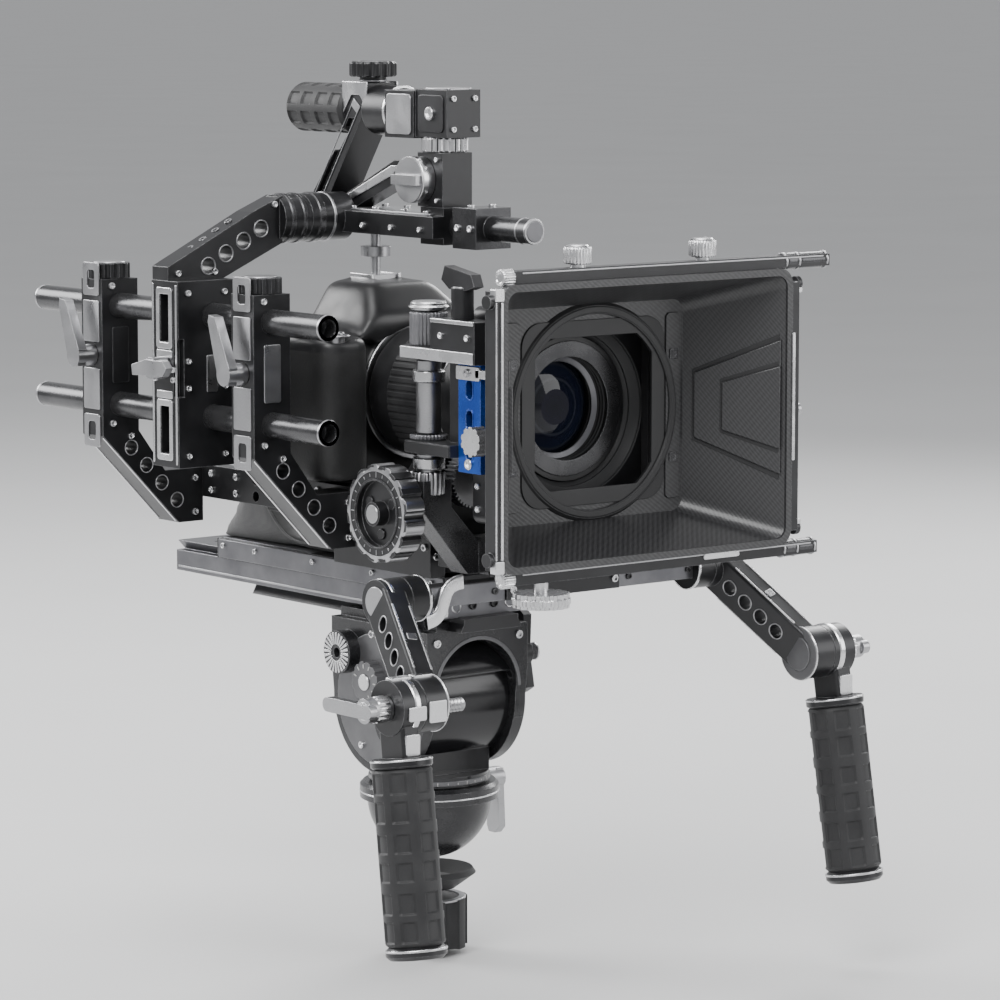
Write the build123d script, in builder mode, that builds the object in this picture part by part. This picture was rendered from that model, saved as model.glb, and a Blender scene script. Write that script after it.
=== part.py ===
from build123d import *
import math
import os

os.makedirs("parts", exist_ok=True)

# Cinema camera rig on a fluid head. Millimetres. The origin is on the pan axis, in the
# plane of the head's base flange. +Z is up, the lens looks along -Y, and +X is the
# operator's left.

# ------------------------------------------------------------------ driving dimensions
LENS_Z = 245.0  # lens axis above the base flange
MOUNT_Y = 20.0  # front face of the camera body, where the lens is mounted
ROD_R = 7.5  # all accessory rods are 15 mm
FIT = 0.05  # radial clearance of a running fit
GAP = 0.3  # clearance between faces that move past each other

BALL_R = 37.5  # 75 mm half ball
FLANGE_R = 42.0
FLANGE_TOP = 9.7
SPIGOT_R = 20.0  # pan axle
SPIGOT_TOP = 30.0
STUD_R = 6.0  # tie-down stud

TILT_Z = 62.0  # tilt axis
HOUSING_HALF = 30.0  # half width of the pan housing between the cheeks
HOUSING_R = 40.0
NECK = (27.0, 24.0)  # half width and half depth of the neck under the housing drum
ARCH_Z = 70.0  # centre of the round arch in the front and rear of the tilt body
TRUNNION_R = 12.0
TRUNNION_END = 34.0
AXLE_R = 4.0  # plain pivots and studs
PIN_R = 3.0  # small lever and dial pins
CHEEK_R = 45.0
HEAD_HALF = 38.0  # half width over the cheeks
HEAD_REACH = 47.0  # half depth of the tilt platform
PLATFORM_Z = 107.7

PLATE_Z = (107.9, 116.0)  # head's sliding plate
PLATE_Y = (-60.0, 150.0)
DOVETAIL_HALF = 31.0
DOVETAIL_Z = (116.0, 135.0)
DOVETAIL_Y = (-52.0, 221.0)
SLED_Z = 135.3  # underside of the sled that rides on the dovetail
SLED_TOP = 142.0

BASE_ROD_X = 30.0  # 60 mm between rod centres
BASE_ROD_Z = LENS_Z - 85.0  # light-weight rod standard: 85 mm under the lens axis
BASE_ROD_Y = (-127.0, 42.0)
BRIDGE_Z = (168.0, 180.0)
CAMERA_Z = 193.0  # underside of the camera body

SIDE_ROD_X = -120.0
SIDE_ROD_Z = (233.0, 293.0)  # 60 mm apart, one over the other
SIDE_ROD_Y = (-62.0, 233.0)
BRACKET_DEPTH = 22.0
BRACKET_Y = {"front": -7.0, "rear": 150.0}  # front face of each side bracket
LEVER_Z = 263.0  # ratchet levers, midway between the side rods
CLAMP_Y = (52.0, 79.0)
CLAMP_X = (-145.0, -105.0)
CLAMP_Z = (204.0, 314.0)

KNUCKLE_Y = 70.0  # rosette joint of the top handle
KNUCKLE_Z = 347.0
KNUCKLE_R = 14.5
KNUCKLE_X = -44.0  # parting plane of the two rosettes
TOP_PLATE_Z = (338.0, 351.0)
TOP_PLATE_Y = (-30.0, 98.0)
SHOE_POST_Y = 52.0
TOP_ROD_Z = 345.0
TOP_ROD_Y = (-100.0, -12.0)
HANDLE_Z = 411.0
HANDLE_R = 15.0
HANDLE_KNOB_Y = 54.0

GEAR_MODULE = 0.8  # lens gears: 0.8 module
RING_TEETH = 106
PINION_TEETH = 40
GEAR_Y = (-97.0, -88.0)
GEAR_ANGLE = 225.0  # direction from the lens axis to the pinion, in the front view

POST = (-72.0, -93.0)  # swing-away hinge post
POST_R = 6.0
STAGE_Y = (-150.0, -126.0)
STAGE_HALF = (66.0, 62.0)
TRAY_Y = (-144.0, -138.0)
SHADE_BACK = (70.0, 64.0)  # half width and half height of the sunshade at the back
SHADE_FRONT = (106.0, 79.0)  # and at the mouth
SHADE_Y = (-203.0, -150.0)
SHADE_WALL = 2.5

CROSSBAR = (-119.0, 143.0)  # Y and Z of the grip crossbar
CROSSBAR_END = 113.0
KNUCKLE_LOW = (152.0, -179.0, 95.0)  # lower grip knuckle, on the +X side
GRIP_END = (164.0, -200.0, -40.0)


# ------------------------------------------------------------------------ shared shapes
def block(x, y, z, mode=Mode.ADD):
    """A box between two x, two y and two z values, in the open BuildPart."""
    centre = [(low + high) / 2 for low, high in (x, y, z)]
    size = [high - low for low, high in (x, y, z)]
    with Locations(tuple(centre)):
        Box(*size, mode=mode)


def x_rod(radius, x, y, z, mode=Mode.ADD):
    """A cylinder along X between two x values."""
    with Locations(((x[0] + x[1]) / 2, y, z)):
        Cylinder(radius, x[1] - x[0], rotation=(0, 90, 0), mode=mode)


def y_rod(radius, x, y, z, mode=Mode.ADD):
    """A cylinder along Y between two y values."""
    with Locations((x, (y[0] + y[1]) / 2, z)):
        Cylinder(radius, y[1] - y[0], rotation=(90, 0, 0), mode=mode)


def z_rod(radius, x, y, z, mode=Mode.ADD):
    """A cylinder along Z between two z values."""
    with Locations((x, y, (z[0] + z[1]) / 2)):
        Cylinder(radius, z[1] - z[0], mode=mode)


def front_plane(y, x=0.0, z=0.0):
    """A plane facing -Y, with its own x along +X and its own y along +Z."""
    return Plane(origin=(x, y, z), x_dir=(1, 0, 0), z_dir=(0, -1, 0))


def left_plane(x, y=0.0, z=0.0):
    """A plane facing -X, with its own x along -Y and its own y along +Z."""
    return Plane(origin=(x, y, z), x_dir=(0, -1, 0), z_dir=(-1, 0, 0))


def slab(plane, points, depth, mode=Mode.ADD):
    """A straight-sided outline on a plane, extruded along the plane's normal."""
    with BuildSketch(plane) as outline:
        with BuildLine():
            Polyline(*points, close=True)
        make_face()
    extrude(outline.sketch, amount=depth, mode=mode)


def mirrored(half):
    """An outline from its right half, whose points run from one end to the other."""
    return half + [(-across, up) for across, up in reversed(half)]


def fluted_disc(plane, radius, depth, flutes, flute_radius):
    """A round knob with scallops around its rim."""
    with BuildSketch(plane) as outline:
        Circle(radius)
        with PolarLocations(radius + 0.35 * flute_radius, flutes):
            Circle(flute_radius, mode=Mode.SUBTRACT)
    extrude(outline.sketch, amount=depth)


def gear_points(teeth, turn=0.0):
    """The outline of a straight-flanked gear, its first tooth centred at the angle turn."""
    pitch_r = GEAR_MODULE * teeth / 2
    half_pitch = 0.42 * math.pi * GEAR_MODULE / 2  # a little thin, for backlash
    points = []
    for tooth in range(teeth):
        centre = math.radians(turn) + 2 * math.pi * tooth / teeth
        for rise, side in ((-1.15, -1), (0.85, -1), (0.85, 1), (-1.15, 1)):
            radius = pitch_r + rise * GEAR_MODULE
            half = half_pitch - rise * GEAR_MODULE * math.tan(math.radians(20))
            angle = centre + side * half / radius
            points.append((radius * math.cos(angle), radius * math.sin(angle)))
    return points


def save(piece, label):
    """Label a finished piece and write it."""
    piece.part.label = label
    export_step(piece.part, f"parts/{label}.step")


# --------------------------------------------------------------------- fluid head: base
with BuildPart() as half_ball:
    Sphere(BALL_R)
    block((-BALL_R, BALL_R), (-BALL_R, BALL_R), (0, BALL_R), mode=Mode.SUBTRACT)
    z_rod(FLANGE_R, 0, 0, (0, FLANGE_TOP))
    chamfer(half_ball.edges().filter_by(GeomType.CIRCLE).sort_by(Axis.Z)[-1], 2)
    z_rod(SPIGOT_R, 0, 0, (FLANGE_TOP, SPIGOT_TOP))
    z_rod(STUD_R + FIT, 0, 0, (-BALL_R - 1, -8), mode=Mode.SUBTRACT)
    x_rod(PIN_R + FIT, (30, FLANGE_R + 1), 0, 5, mode=Mode.SUBTRACT)
save(half_ball, "half_ball")

with BuildPart() as tie_down_knob:
    z_rod(STUD_R, 0, 0, (-64, -8.5))
    with BuildSketch(Plane.XZ) as cup:
        with BuildLine():
            Polyline((0, -50), (14, -50), (26, -44), (28, -47), (16, -56), (0, -56), close=True)
        make_face()
    revolve(cup.sketch, axis=Axis.Z)
    fluted_disc(Plane.XY.offset(-92), 23, 30, 8, 6)
    z_rod(9, 0, 0, (-96, -92))
save(tie_down_knob, "tie_down_knob")

with BuildPart() as pan_lock_lever:
    x_rod(PIN_R, (31, 46), 0, 5)
    x_rod(6.5, (FLANGE_R + GAP, 54), 0, 5)
    slab(left_plane(54, 0, 5), [(-4, 6), (4, 6), (6, -30), (2, -34), (-4, -34), (-6, -30)], 5)
save(pan_lock_lever, "pan_lock_lever")

# ------------------------------------------------------------- fluid head: pan and tilt
with BuildPart() as pan_housing:
    z_rod(36, 0, 0, (FLANGE_TOP + GAP, 16.5))
    block((-NECK[0], NECK[0]), (-NECK[1], NECK[1]), (16.5, TILT_Z))
    x_rod(HOUSING_R, (-HOUSING_HALF, HOUSING_HALF), 0, TILT_Z)
    x_rod(TRUNNION_R, (-TRUNNION_END, TRUNNION_END), 0, TILT_Z)
    z_rod(SPIGOT_R + FIT, 0, 0, (0, SPIGOT_TOP + GAP), mode=Mode.SUBTRACT)
save(pan_housing, "pan_housing")

PANBAR = (30.0, 88.0)  # Y and Z of the pan bar rosette
DIAL = (4.0, 73.0)  # Y and Z of the drag dial
TILT_LOCK = (-30.0, 86.0)

with BuildPart() as tilt_body:
    x_rod(CHEEK_R, (-HEAD_HALF, HEAD_HALF), 0, TILT_Z)
    shoulders = [(43.5, 50), (HEAD_REACH, 80), (HEAD_REACH, PLATFORM_Z)]
    slab(left_plane(HEAD_HALF), mirrored(shoulders), 2 * HEAD_HALF)
    between = (-HOUSING_HALF - GAP, HOUSING_HALF + GAP)
    x_rod(HOUSING_R + 0.4, between, 0, TILT_Z, mode=Mode.SUBTRACT)
    block(between, (-50, 50), (10, ARCH_Z), mode=Mode.SUBTRACT)
    y_rod(HOUSING_HALF + GAP, 0, (-50, 50), ARCH_Z, mode=Mode.SUBTRACT)
    recess = (-TRUNNION_END - GAP, TRUNNION_END + GAP)
    x_rod(TRUNNION_R + FIT, recess, 0, TILT_Z, mode=Mode.SUBTRACT)
    for side in (1, -1):
        rail = [(23.3, 107.7), (31, 107.7), (31, 113), (20.5, 113)]
        slab(front_plane(HEAD_REACH), [(side * x, z) for x, z in rail], 2 * HEAD_REACH)
    x_rod(13, (-47, -HEAD_HALF), *PANBAR)
    x_rod(PIN_R, (-48, -32), *PANBAR, mode=Mode.SUBTRACT)
    x_rod(PIN_R + FIT, (-HEAD_HALF - 1, -35), *DIAL, mode=Mode.SUBTRACT)
    x_rod(PIN_R + FIT, (30, HEAD_HALF + 1), *TILT_LOCK, mode=Mode.SUBTRACT)
    x_rod(2 + FIT, (-32, -26), -20, 110.6, mode=Mode.SUBTRACT)
save(tilt_body, "tilt_body")

with BuildPart() as drag_dial:
    x_rod(PIN_R, (-HEAD_HALF - 1, -35.3), *DIAL)
    fluted_disc(left_plane(-HEAD_HALF - GAP, *DIAL), 12.5, 7.5, 12, 1.6)
save(drag_dial, "drag_dial")

with BuildPart() as tilt_lock_lever:
    x_rod(PIN_R, (31, 40), *TILT_LOCK)
    x_rod(8, (HEAD_HALF + GAP, 50), *TILT_LOCK)
    wing = [(-5, 0), (-9, 26), (-3, 30), (6, 24), (5, 0), (9, -20), (2, -24), (-5, -18)]
    slab(left_plane(50, *TILT_LOCK), wing, 6)
save(tilt_lock_lever, "tilt_lock_lever")

with BuildPart() as head_plate:
    half = [(20.2, PLATE_Z[1]), (20.2, 113.2), (23, PLATE_Z[0])]
    slab(front_plane(PLATE_Y[1]), mirrored(half), PLATE_Y[1] - PLATE_Y[0])
save(head_plate, "head_plate")

with BuildPart() as plate_clamp_lever:
    x_rod(2, (-31.5, -26.5), -20, 110.6)
    x_rod(2.6, (-40, -31.3), -20, 110.6)
    x_rod(6, (-50, -38.5), -20, 110.6)
    slab(left_plane(-44, -20, 110.6), [(-4, 0), (-12, 16), (-6, 19), (4, 2)], 5)
save(plate_clamp_lever, "plate_clamp_lever")

# -------------------------------------------------------------------- dovetail and base
with BuildPart() as dovetail_plate:
    low, top = DOVETAIL_Z
    half = [(30, top), (24.5, top - 6), (DOVETAIL_HALF, top - 6), (DOVETAIL_HALF, low)]
    slab(front_plane(DOVETAIL_Y[1]), mirrored(half), DOVETAIL_Y[1] - DOVETAIL_Y[0])
    for x in (-14, 14):
        block((x - 3.2, x + 3.2), (-30, 200), (top - 5, top + 1), mode=Mode.SUBTRACT)
    for y in (-40, 211):
        z_rod(2.5, 0, y, (low - 1, top + 1), mode=Mode.SUBTRACT)
save(dovetail_plate, "dovetail_plate")

with BuildPart() as shoulder_pad:
    with BuildSketch(left_plane(29)) as outline:
        with BuildLine():
            Polyline((-112, 142), (-176, 142), (-149, 178), (-135, 176))
            dip = [(-135, 176), (-114, 154), (-96, 146), (-76, 147.5)]
            Spline(*dip, tangents=((1, -0.5), (1, 0.05)))
            Polyline((-76, 147.5), (-48, 150), (44, 150), (58, 142), (-112, 142))
        make_face()
    extrude(outline.sketch, amount=58)
    fillet(shoulder_pad.faces().sort_by(Axis.Y)[-1].edges().sort_by(Axis.Z)[-1], 4)
save(shoulder_pad, "shoulder_pad")

with BuildPart() as baseplate:
    half = [(34, SLED_TOP), (34, 129.3), (25.3, 129.3), (30.6, SLED_Z)]
    slab(front_plane(172), mirrored(half), 232)
    block((-50, 44), (-58, 96), BRIDGE_Z)
    for y in ((-58, -38), (12, 36)):
        block((-44, 44), y, (150.2, BRIDGE_Z[0]))
        for x in (-BASE_ROD_X, BASE_ROD_X):
            y_rod(ROD_R + FIT, x, (y[0] - 1, y[1] + 1), BASE_ROD_Z, mode=Mode.SUBTRACT)
    for x in ((-44, -33), (33, 44)):
        block(x, (-58, 36), (SLED_TOP, 152))
    block((-28, 28), (20, 78), (BRIDGE_Z[1], CAMERA_Z))
    for y in (-30, -6):
        z_rod(3.2, 0, y, (167, 181), mode=Mode.SUBTRACT)
save(baseplate, "baseplate")

with BuildPart() as base_rods:
    for x in (-BASE_ROD_X, BASE_ROD_X):
        y_rod(ROD_R, x, BASE_ROD_Y, BASE_ROD_Z)
        y_rod(5.5, x, (BASE_ROD_Y[1] - 14, BASE_ROD_Y[1] + 1), BASE_ROD_Z, mode=Mode.SUBTRACT)
save(base_rods, "base_rods")

with BuildPart() as side_plate:
    block((-60, -50), (-10, 175), (172, 192))
    for y in (70, 94):
        for z in (177, 187):
            x_rod(3.2, (-61, -49), y, z, mode=Mode.SUBTRACT)
save(side_plate, "side_plate")

# ------------------------------------------------------------------------------- camera
SHUTTER = (-70.0, -2.0)  # X and Y of the shutter button
MODE_DIAL = (56.5, 48.0)
DECK_Z = 283.0  # shoulders of the camera body
SHOE_Z = 309.0

with BuildPart() as camera_body:
    block((-84, 68), (MOUNT_Y, 74), (CAMERA_Z, DECK_Z))
    fillet(camera_body.edges().filter_by(Axis.Y), 9)
    with BuildSketch(Plane.XY.offset(CAMERA_Z + 3)) as grip:
        with Locations((-65, 15)):
            RectangleRounded(37, 50, 14)
    extrude(grip.sketch, amount=DECK_Z - CAMERA_Z - 5)
    with BuildSketch(front_plane(70)) as hump:
        with BuildLine():
            slope = [(46, 276), (26, SHOE_Z - 3), (22, SHOE_Z)]
            Polyline(*mirrored(slope), close=True)
        make_face()
    extrude(hump.sketch, amount=62)
    slab(left_plane(50), [(-7, 290), (-7, 311), (-28, 311)], 100, mode=Mode.SUBTRACT)
    with Locations((0, MOUNT_Y - 4, LENS_Z)):
        Cylinder(41, 12, rotation=(90, 0, 0))
    for x in ((-11.2, -9.4), (9.4, 11.2)):
        block(x, (40, 64), (SHOE_Z, SHOE_Z + 4))
    y_rod(36, 0, (0, 16), LENS_Z, mode=Mode.SUBTRACT)
    z_rod(5 + FIT, *SHUTTER, (270, 290), mode=Mode.SUBTRACT)
    z_rod(PIN_R + FIT, *MODE_DIAL, (276, 290), mode=Mode.SUBTRACT)
save(camera_body, "camera_body")

with BuildPart() as shutter_button:
    z_rod(5, *SHUTTER, (272, 284.5))
    fillet(shutter_button.edges().group_by(Axis.Z)[-1], 1.5)
save(shutter_button, "shutter_button")

with BuildPart() as mode_dial:
    z_rod(PIN_R, *MODE_DIAL, (277, DECK_Z + 1))
    fluted_disc(Plane(origin=(*MODE_DIAL, DECK_Z + GAP)), 9.5, 7, 24, 0.8)
save(mode_dial, "mode_dial")

# --------------------------------------------------------------------------------- lens
BARREL_R = 34.0
FRONT_R = 30.0  # front element
RECESS_Y = -110.0  # seat of the front element
ZOOM_Y = (-58.0, -14.0)

with BuildPart() as lens_barrel:
    y_rod(35.5, 0, (-3, 16), LENS_Z)
    y_rod(39, 0, (-13.7, 7), LENS_Z)
    y_rod(BARREL_R, 0, (-118, 0), LENS_Z)
    y_rod(40, 0, (-87.7, -58.3), LENS_Z)
    with BuildSketch(left_plane(0, -97.3, LENS_Z)) as nose:
        with BuildLine():
            rim = [(0, 39), (8, 42), (32.7, 42), (32.7, 38.5), (26, 36)]
            Polyline((0, FRONT_R), *rim, (22, FRONT_R), close=True)
        make_face()
    revolve(nose.sketch, axis=Axis((0, 0, LENS_Z), (0, 1, 0)))
    y_rod(FRONT_R, 0, (-131, RECESS_Y), LENS_Z, mode=Mode.SUBTRACT)
save(lens_barrel, "lens_barrel")

with BuildPart() as front_element:
    y_rod(FRONT_R, 0, (-119, RECESS_Y), LENS_Z)
    with Locations((0, RECESS_Y + 44, LENS_Z)):
        Sphere(54, mode=Mode.INTERSECT)
save(front_element, "front_element")

with BuildPart() as zoom_ring:
    with BuildSketch(front_plane(ZOOM_Y[1], 0, LENS_Z)) as ribs:
        Circle(42)
        with PolarLocations(42.6, 60):
            Circle(1.2, mode=Mode.SUBTRACT)
        Circle(BARREL_R + FIT, mode=Mode.SUBTRACT)
    extrude(ribs.sketch, amount=ZOOM_Y[1] - ZOOM_Y[0])
save(zoom_ring, "zoom_ring")

with BuildPart() as focus_gear_ring:
    slab(front_plane(GEAR_Y[1], 0, LENS_Z), gear_points(RING_TEETH, GEAR_ANGLE), 9)
    y_rod(BARREL_R + FIT, 0, (-98, -87), LENS_Z, mode=Mode.SUBTRACT)
save(focus_gear_ring, "focus_gear_ring")

# ------------------------------------------------------------------------- follow focus
CENTRES = GEAR_MODULE * (RING_TEETH + PINION_TEETH) / 2
PINION_X = CENTRES * math.cos(math.radians(GEAR_ANGLE))
PINION_Z = LENS_Z + CENTRES * math.sin(math.radians(GEAR_ANGLE))
WHEEL = (-80.0, 187.0)  # Y and Z of the hand wheel shaft
FOCUS_CLAMP_Y = (-83.0, -63.0)

with BuildPart() as focus_pinion:
    # A gap of the pinion faces the ring's tooth on the line of centres.
    facing = GEAR_ANGLE + 180 + 180 / PINION_TEETH
    slab(front_plane(GEAR_Y[1], PINION_X, PINION_Z), gear_points(PINION_TEETH, facing), 9)
    y_rod(AXLE_R, PINION_X, (-88, -76), PINION_Z)
save(focus_pinion, "focus_pinion")

with BuildPart() as focus_gearbox:
    block((-42, 42), FOCUS_CLAMP_Y, (150, 171))
    profile = [(-64, 176), (-42, 160), (-20, 171), (-20, 198), (-36, 216), (-58, 216), (-64, 208)]
    slab(front_plane(FOCUS_CLAMP_Y[1]), profile, 20)
    for x in (-BASE_ROD_X, BASE_ROD_X):
        y_rod(ROD_R + FIT, x, (-84, -62), BASE_ROD_Z, mode=Mode.SUBTRACT)
    y_rod(AXLE_R + FIT, PINION_X, (-84, -75.7), PINION_Z, mode=Mode.SUBTRACT)
    x_rod(AXLE_R + FIT, (-65, -49.7), *WHEEL, mode=Mode.SUBTRACT)
save(focus_gearbox, "focus_gearbox")

with BuildPart() as focus_hand_wheel:
    x_rod(AXLE_R, (-90, -50), *WHEEL)
    x_rod(5, (-90, -64 - GAP), *WHEEL)
    fluted_disc(left_plane(-86, *WHEEL), 28, 14, 16, 3.2)
    x_rod(19, (-101, -96), *WHEEL, mode=Mode.SUBTRACT)
    x_rod(7, (-103, -95), *WHEEL)
save(focus_hand_wheel, "focus_hand_wheel")

# --------------------------------------------------------------- matte box: swing hinge
with BuildPart() as swing_bracket:
    block((-42, 42), (-110, -90), (150, 171))
    arm = [(-42, 150), (-42, 168), (-62, 190), (-62, 206), (-82, 206), (-82, 188), (-50, 150)]
    slab(front_plane(-85.5), arm, 15.5)
    for x in (-BASE_ROD_X, BASE_ROD_X):
        y_rod(ROD_R + FIT, x, (-111, -84), BASE_ROD_Z, mode=Mode.SUBTRACT)
    z_rod(POST_R, *POST, (206, 303.5))
    z_rod(10, *POST, (303.5, 308))
    for z in (212, 262):
        z_rod(9, *POST, (z, z + 7))
save(swing_bracket, "swing_bracket")

LOCK_STUD = (-75.0, -128.0)  # X and Y of the swing lock

with BuildPart() as swing_arm:
    block((-84, -STAGE_HALF[0]), (-150, -82), (276, 283))
    block((-84, -STAGE_HALF[0]), (-150, -110), (283, 300))
    z_rod(10, *POST, (276, 302))
    block((-84, -STAGE_HALF[0]), (-127.7, -86), (222, 229))
    z_rod(10, *POST, (222, 232))
    block((-71.5, -STAGE_HALF[0]), (-127.7, -112), (222, 283))
    z_rod(POST_R + FIT, *POST, (220, 303), mode=Mode.SUBTRACT)
    z_rod(PIN_R + FIT, *LOCK_STUD, (290, 301), mode=Mode.SUBTRACT)
save(swing_arm, "swing_arm")

with BuildPart() as swing_lock_lever:
    z_rod(PIN_R, *LOCK_STUD, (291, 304))
    z_rod(6.5, *LOCK_STUD, (300 + GAP, 318))
    wing = [(-15, 4), (-12, 12), (12, 8), (15, 1), (8, -1), (-8, -1)]
    slab(left_plane(-71.5, LOCK_STUD[1], 318), wing, 7)
save(swing_lock_lever, "swing_lock_lever")

with BuildPart() as stage_link:
    block((-78, -72), (-148, -128), (214, 275.7))
    with BuildSketch(left_plane(-71, -138, 244)) as slots:
        with GridLocations(20, 17.5, 1, 3):
            SlotOverall(11, 6, rotation=90)
    extrude(slots.sketch, amount=8, mode=Mode.SUBTRACT)
    for z in (219, 270):
        x_rod(4, (-72, -STAGE_HALF[0]), -138, z)
save(stage_link, "stage_link")

# ----------------------------------------------------------- matte box: stage and shade
with BuildPart() as filter_stage:
    half_width, half_height = STAGE_HALF
    block((-half_width, half_width), STAGE_Y, (LENS_Z - half_height, LENS_Z + half_height))
    fillet(filter_stage.edges().filter_by(Axis.Y), 6)
    y_rod(50, 0, (-151, -125), LENS_Z, mode=Mode.SUBTRACT)
    with BuildSketch(front_plane(-137.5, 0, LENS_Z)) as window:
        RectangleRounded(102, 102, 14)
    extrude(window.sketch, amount=20, mode=Mode.SUBTRACT)
    block((-57.3, 57.3), (TRAY_Y[0] - GAP, TRAY_Y[1] + GAP), (188, 320), mode=Mode.SUBTRACT)
save(filter_stage, "filter_stage")

with BuildPart() as filter_tray:
    block((-57, 57), TRAY_Y, (188.3, 311))
    block((-20, 20), TRAY_Y, (311, 317))
    with BuildSketch(front_plane(-137, 0, LENS_Z)) as window:
        RectangleRounded(98, 98, 8)
    extrude(window.sketch, amount=10, mode=Mode.SUBTRACT)
save(filter_tray, "filter_tray")


def shade_section(y, half_width, half_height):
    """One cross-section of the sunshade."""
    with BuildSketch(front_plane(y, 0, LENS_Z)) as section:
        RectangleRounded(2 * half_width, 2 * half_height, 8)
    return section.sketch


with BuildPart() as sunshade:
    loft([shade_section(SHADE_Y[1], *SHADE_BACK), shade_section(SHADE_Y[0], *SHADE_FRONT)])
    inner_back = [half - SHADE_WALL for half in SHADE_BACK]
    inner_front = [half - SHADE_WALL for half in SHADE_FRONT]
    loft(
        [shade_section(SHADE_Y[1] - 3, *inner_back), shade_section(SHADE_Y[0], *inner_front)],
        mode=Mode.SUBTRACT,
    )
    with BuildSketch(front_plane(-149, 0, LENS_Z)) as window:
        RectangleRounded(102, 102, 14)
    extrude(window.sketch, amount=10, mode=Mode.SUBTRACT)
    with BuildSketch(front_plane(-152, 0, LENS_Z)) as ring:
        Circle(61)
        Circle(56.5, mode=Mode.SUBTRACT)
    extrude(ring.sketch, amount=3)
    with BuildSketch(front_plane(-199, 0, LENS_Z)) as rim:
        RectangleRounded(214, 160, 9)
        RectangleRounded(206, 152, 7, mode=Mode.SUBTRACT)
    extrude(rim.sketch, amount=5)
save(sunshade, "sunshade")

RAIL_Y = (-199.0, -190.0)

with BuildPart() as shade_rails:
    block((-94, 140), RAIL_Y, (325, 332))
    block((-94, 132), RAIL_Y, (158, 165))
    block((-112, -107), (-204, -195), (168, 322))
    block((107, 112), (-204, -195), (173, 317))
    for x in ((-115, -112), (112, 115)):
        for z in (174, 316):
            x_rod(4, x, -199.5, z)
save(shade_rails, "shade_rails")

with BuildPart() as shade_knobs:
    for x in (-46, 46):
        z_rod(3, x, -194.5, (332, 337))
        fluted_disc(Plane(origin=(x, -194.5, 336)), 7.5, 7, 10, 1.5)
    z_rod(4, -72, -194.5, (150, 158))
    fluted_disc(Plane(origin=(-72, -194.5, 144)), 16, 8, 20, 1.6)
    x_rod(3, (-84, -75.6), -155, 234)
    fluted_disc(left_plane(-82, -155, 234), 8.5, 9, 10, 1.6)
save(shade_knobs, "shade_knobs")

# ----------------------------------------------------------------------- side rod frame
with BuildPart() as side_rods:
    for z in SIDE_ROD_Z:
        y_rod(ROD_R, SIDE_ROD_X, SIDE_ROD_Y, z)
        for y in SIDE_ROD_Y:
            y_rod(5.2, SIDE_ROD_X, (y - 10, y + 10), z, mode=Mode.SUBTRACT)
save(side_rods, "side_rods")

BRACKET_TOP = 309.0
BRACKET_FOOT = [(-107, 216), (-88, 190), (-60, 190), (-60, 157), (-78, 157), (-133, 214)]
BRACKET_OUTLINE = [(-133, BRACKET_TOP), (-107, BRACKET_TOP)] + BRACKET_FOOT
LEG_SLOPE = math.atan2(57, 55)  # slope of the diagonal leg, which the holes follow

for end, face_y in BRACKET_Y.items():
    back_y = face_y + BRACKET_DEPTH
    middle_y = face_y + BRACKET_DEPTH / 2
    with BuildPart() as bracket:
        slab(front_plane(back_y), BRACKET_OUTLINE, BRACKET_DEPTH)
        for z in SIDE_ROD_Z:
            y_rod(ROD_R, SIDE_ROD_X, (face_y - 1, back_y + 1), z, mode=Mode.SUBTRACT)
        for step in range(4):
            along = 20 + 16 * step
            x = -126.5 + along * math.cos(LEG_SLOPE)
            z = 220.2 - along * math.sin(LEG_SLOPE)
            y_rod(4.2, x, (face_y - 1, back_y + 1), z, mode=Mode.SUBTRACT)
        x_rod(AXLE_R + FIT, (-134, -122), middle_y, LEVER_Z, mode=Mode.SUBTRACT)
        z_rod(AXLE_R + FIT, SIDE_ROD_X, middle_y, (303, BRACKET_TOP + 1), mode=Mode.SUBTRACT)
    save(bracket, f"{end}_bracket")

    with BuildPart() as rod_knob:
        z_rod(AXLE_R, SIDE_ROD_X, middle_y, (303 + GAP, BRACKET_TOP + 2))
        seat = Plane(origin=(SIDE_ROD_X, middle_y, BRACKET_TOP + GAP))
        fluted_disc(seat, 12.5, 9, 14, 1.8)
    save(rod_knob, f"{end}_rod_knob")

    with BuildPart() as ratchet:
        x_rod(AXLE_R, (-134, -122.3), middle_y, LEVER_Z)
        x_rod(6.5, (-147, -133 - GAP), middle_y, LEVER_Z)
        blade = [(5, -6), (6, 4), (-8, 33), (-14, 34), (-15, 30), (-6, 0)]
        slab(left_plane(-141, middle_y, LEVER_Z), blade, 6)
    save(ratchet, f"{end}_ratchet_lever")

CLAMP_MIDDLE = sum(CLAMP_Y) / 2

with BuildPart() as slide_clamp:
    block(CLAMP_X, CLAMP_Y, CLAMP_Z)
    block((-146, -138), (61, 70), (278, 306), mode=Mode.SUBTRACT)
    block((-146, -138), (61, 70), (212, 240), mode=Mode.SUBTRACT)
    block((-146, -141), (51, 57), (246, 280), mode=Mode.SUBTRACT)
    for z in SIDE_ROD_Z:
        y_rod(ROD_R + FIT, SIDE_ROD_X, (51, 80), z, mode=Mode.SUBTRACT)
    x_rod(AXLE_R + FIT, (-146, -134), CLAMP_MIDDLE, LEVER_Z, mode=Mode.SUBTRACT)
save(slide_clamp, "slide_clamp")

with BuildPart() as clamp_ratchet_lever:
    x_rod(AXLE_R, (-146, -134.3), CLAMP_MIDDLE, LEVER_Z)
    x_rod(6.5, (-156, CLAMP_X[0] - GAP), CLAMP_MIDDLE, LEVER_Z)
    wing = [(-17, -5), (-18, 1), (-4, 5), (14, 5), (18, 1), (14, -4)]
    slab(left_plane(-152, CLAMP_MIDDLE, LEVER_Z), wing, 5)
save(clamp_ratchet_lever, "clamp_ratchet_lever")

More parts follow.
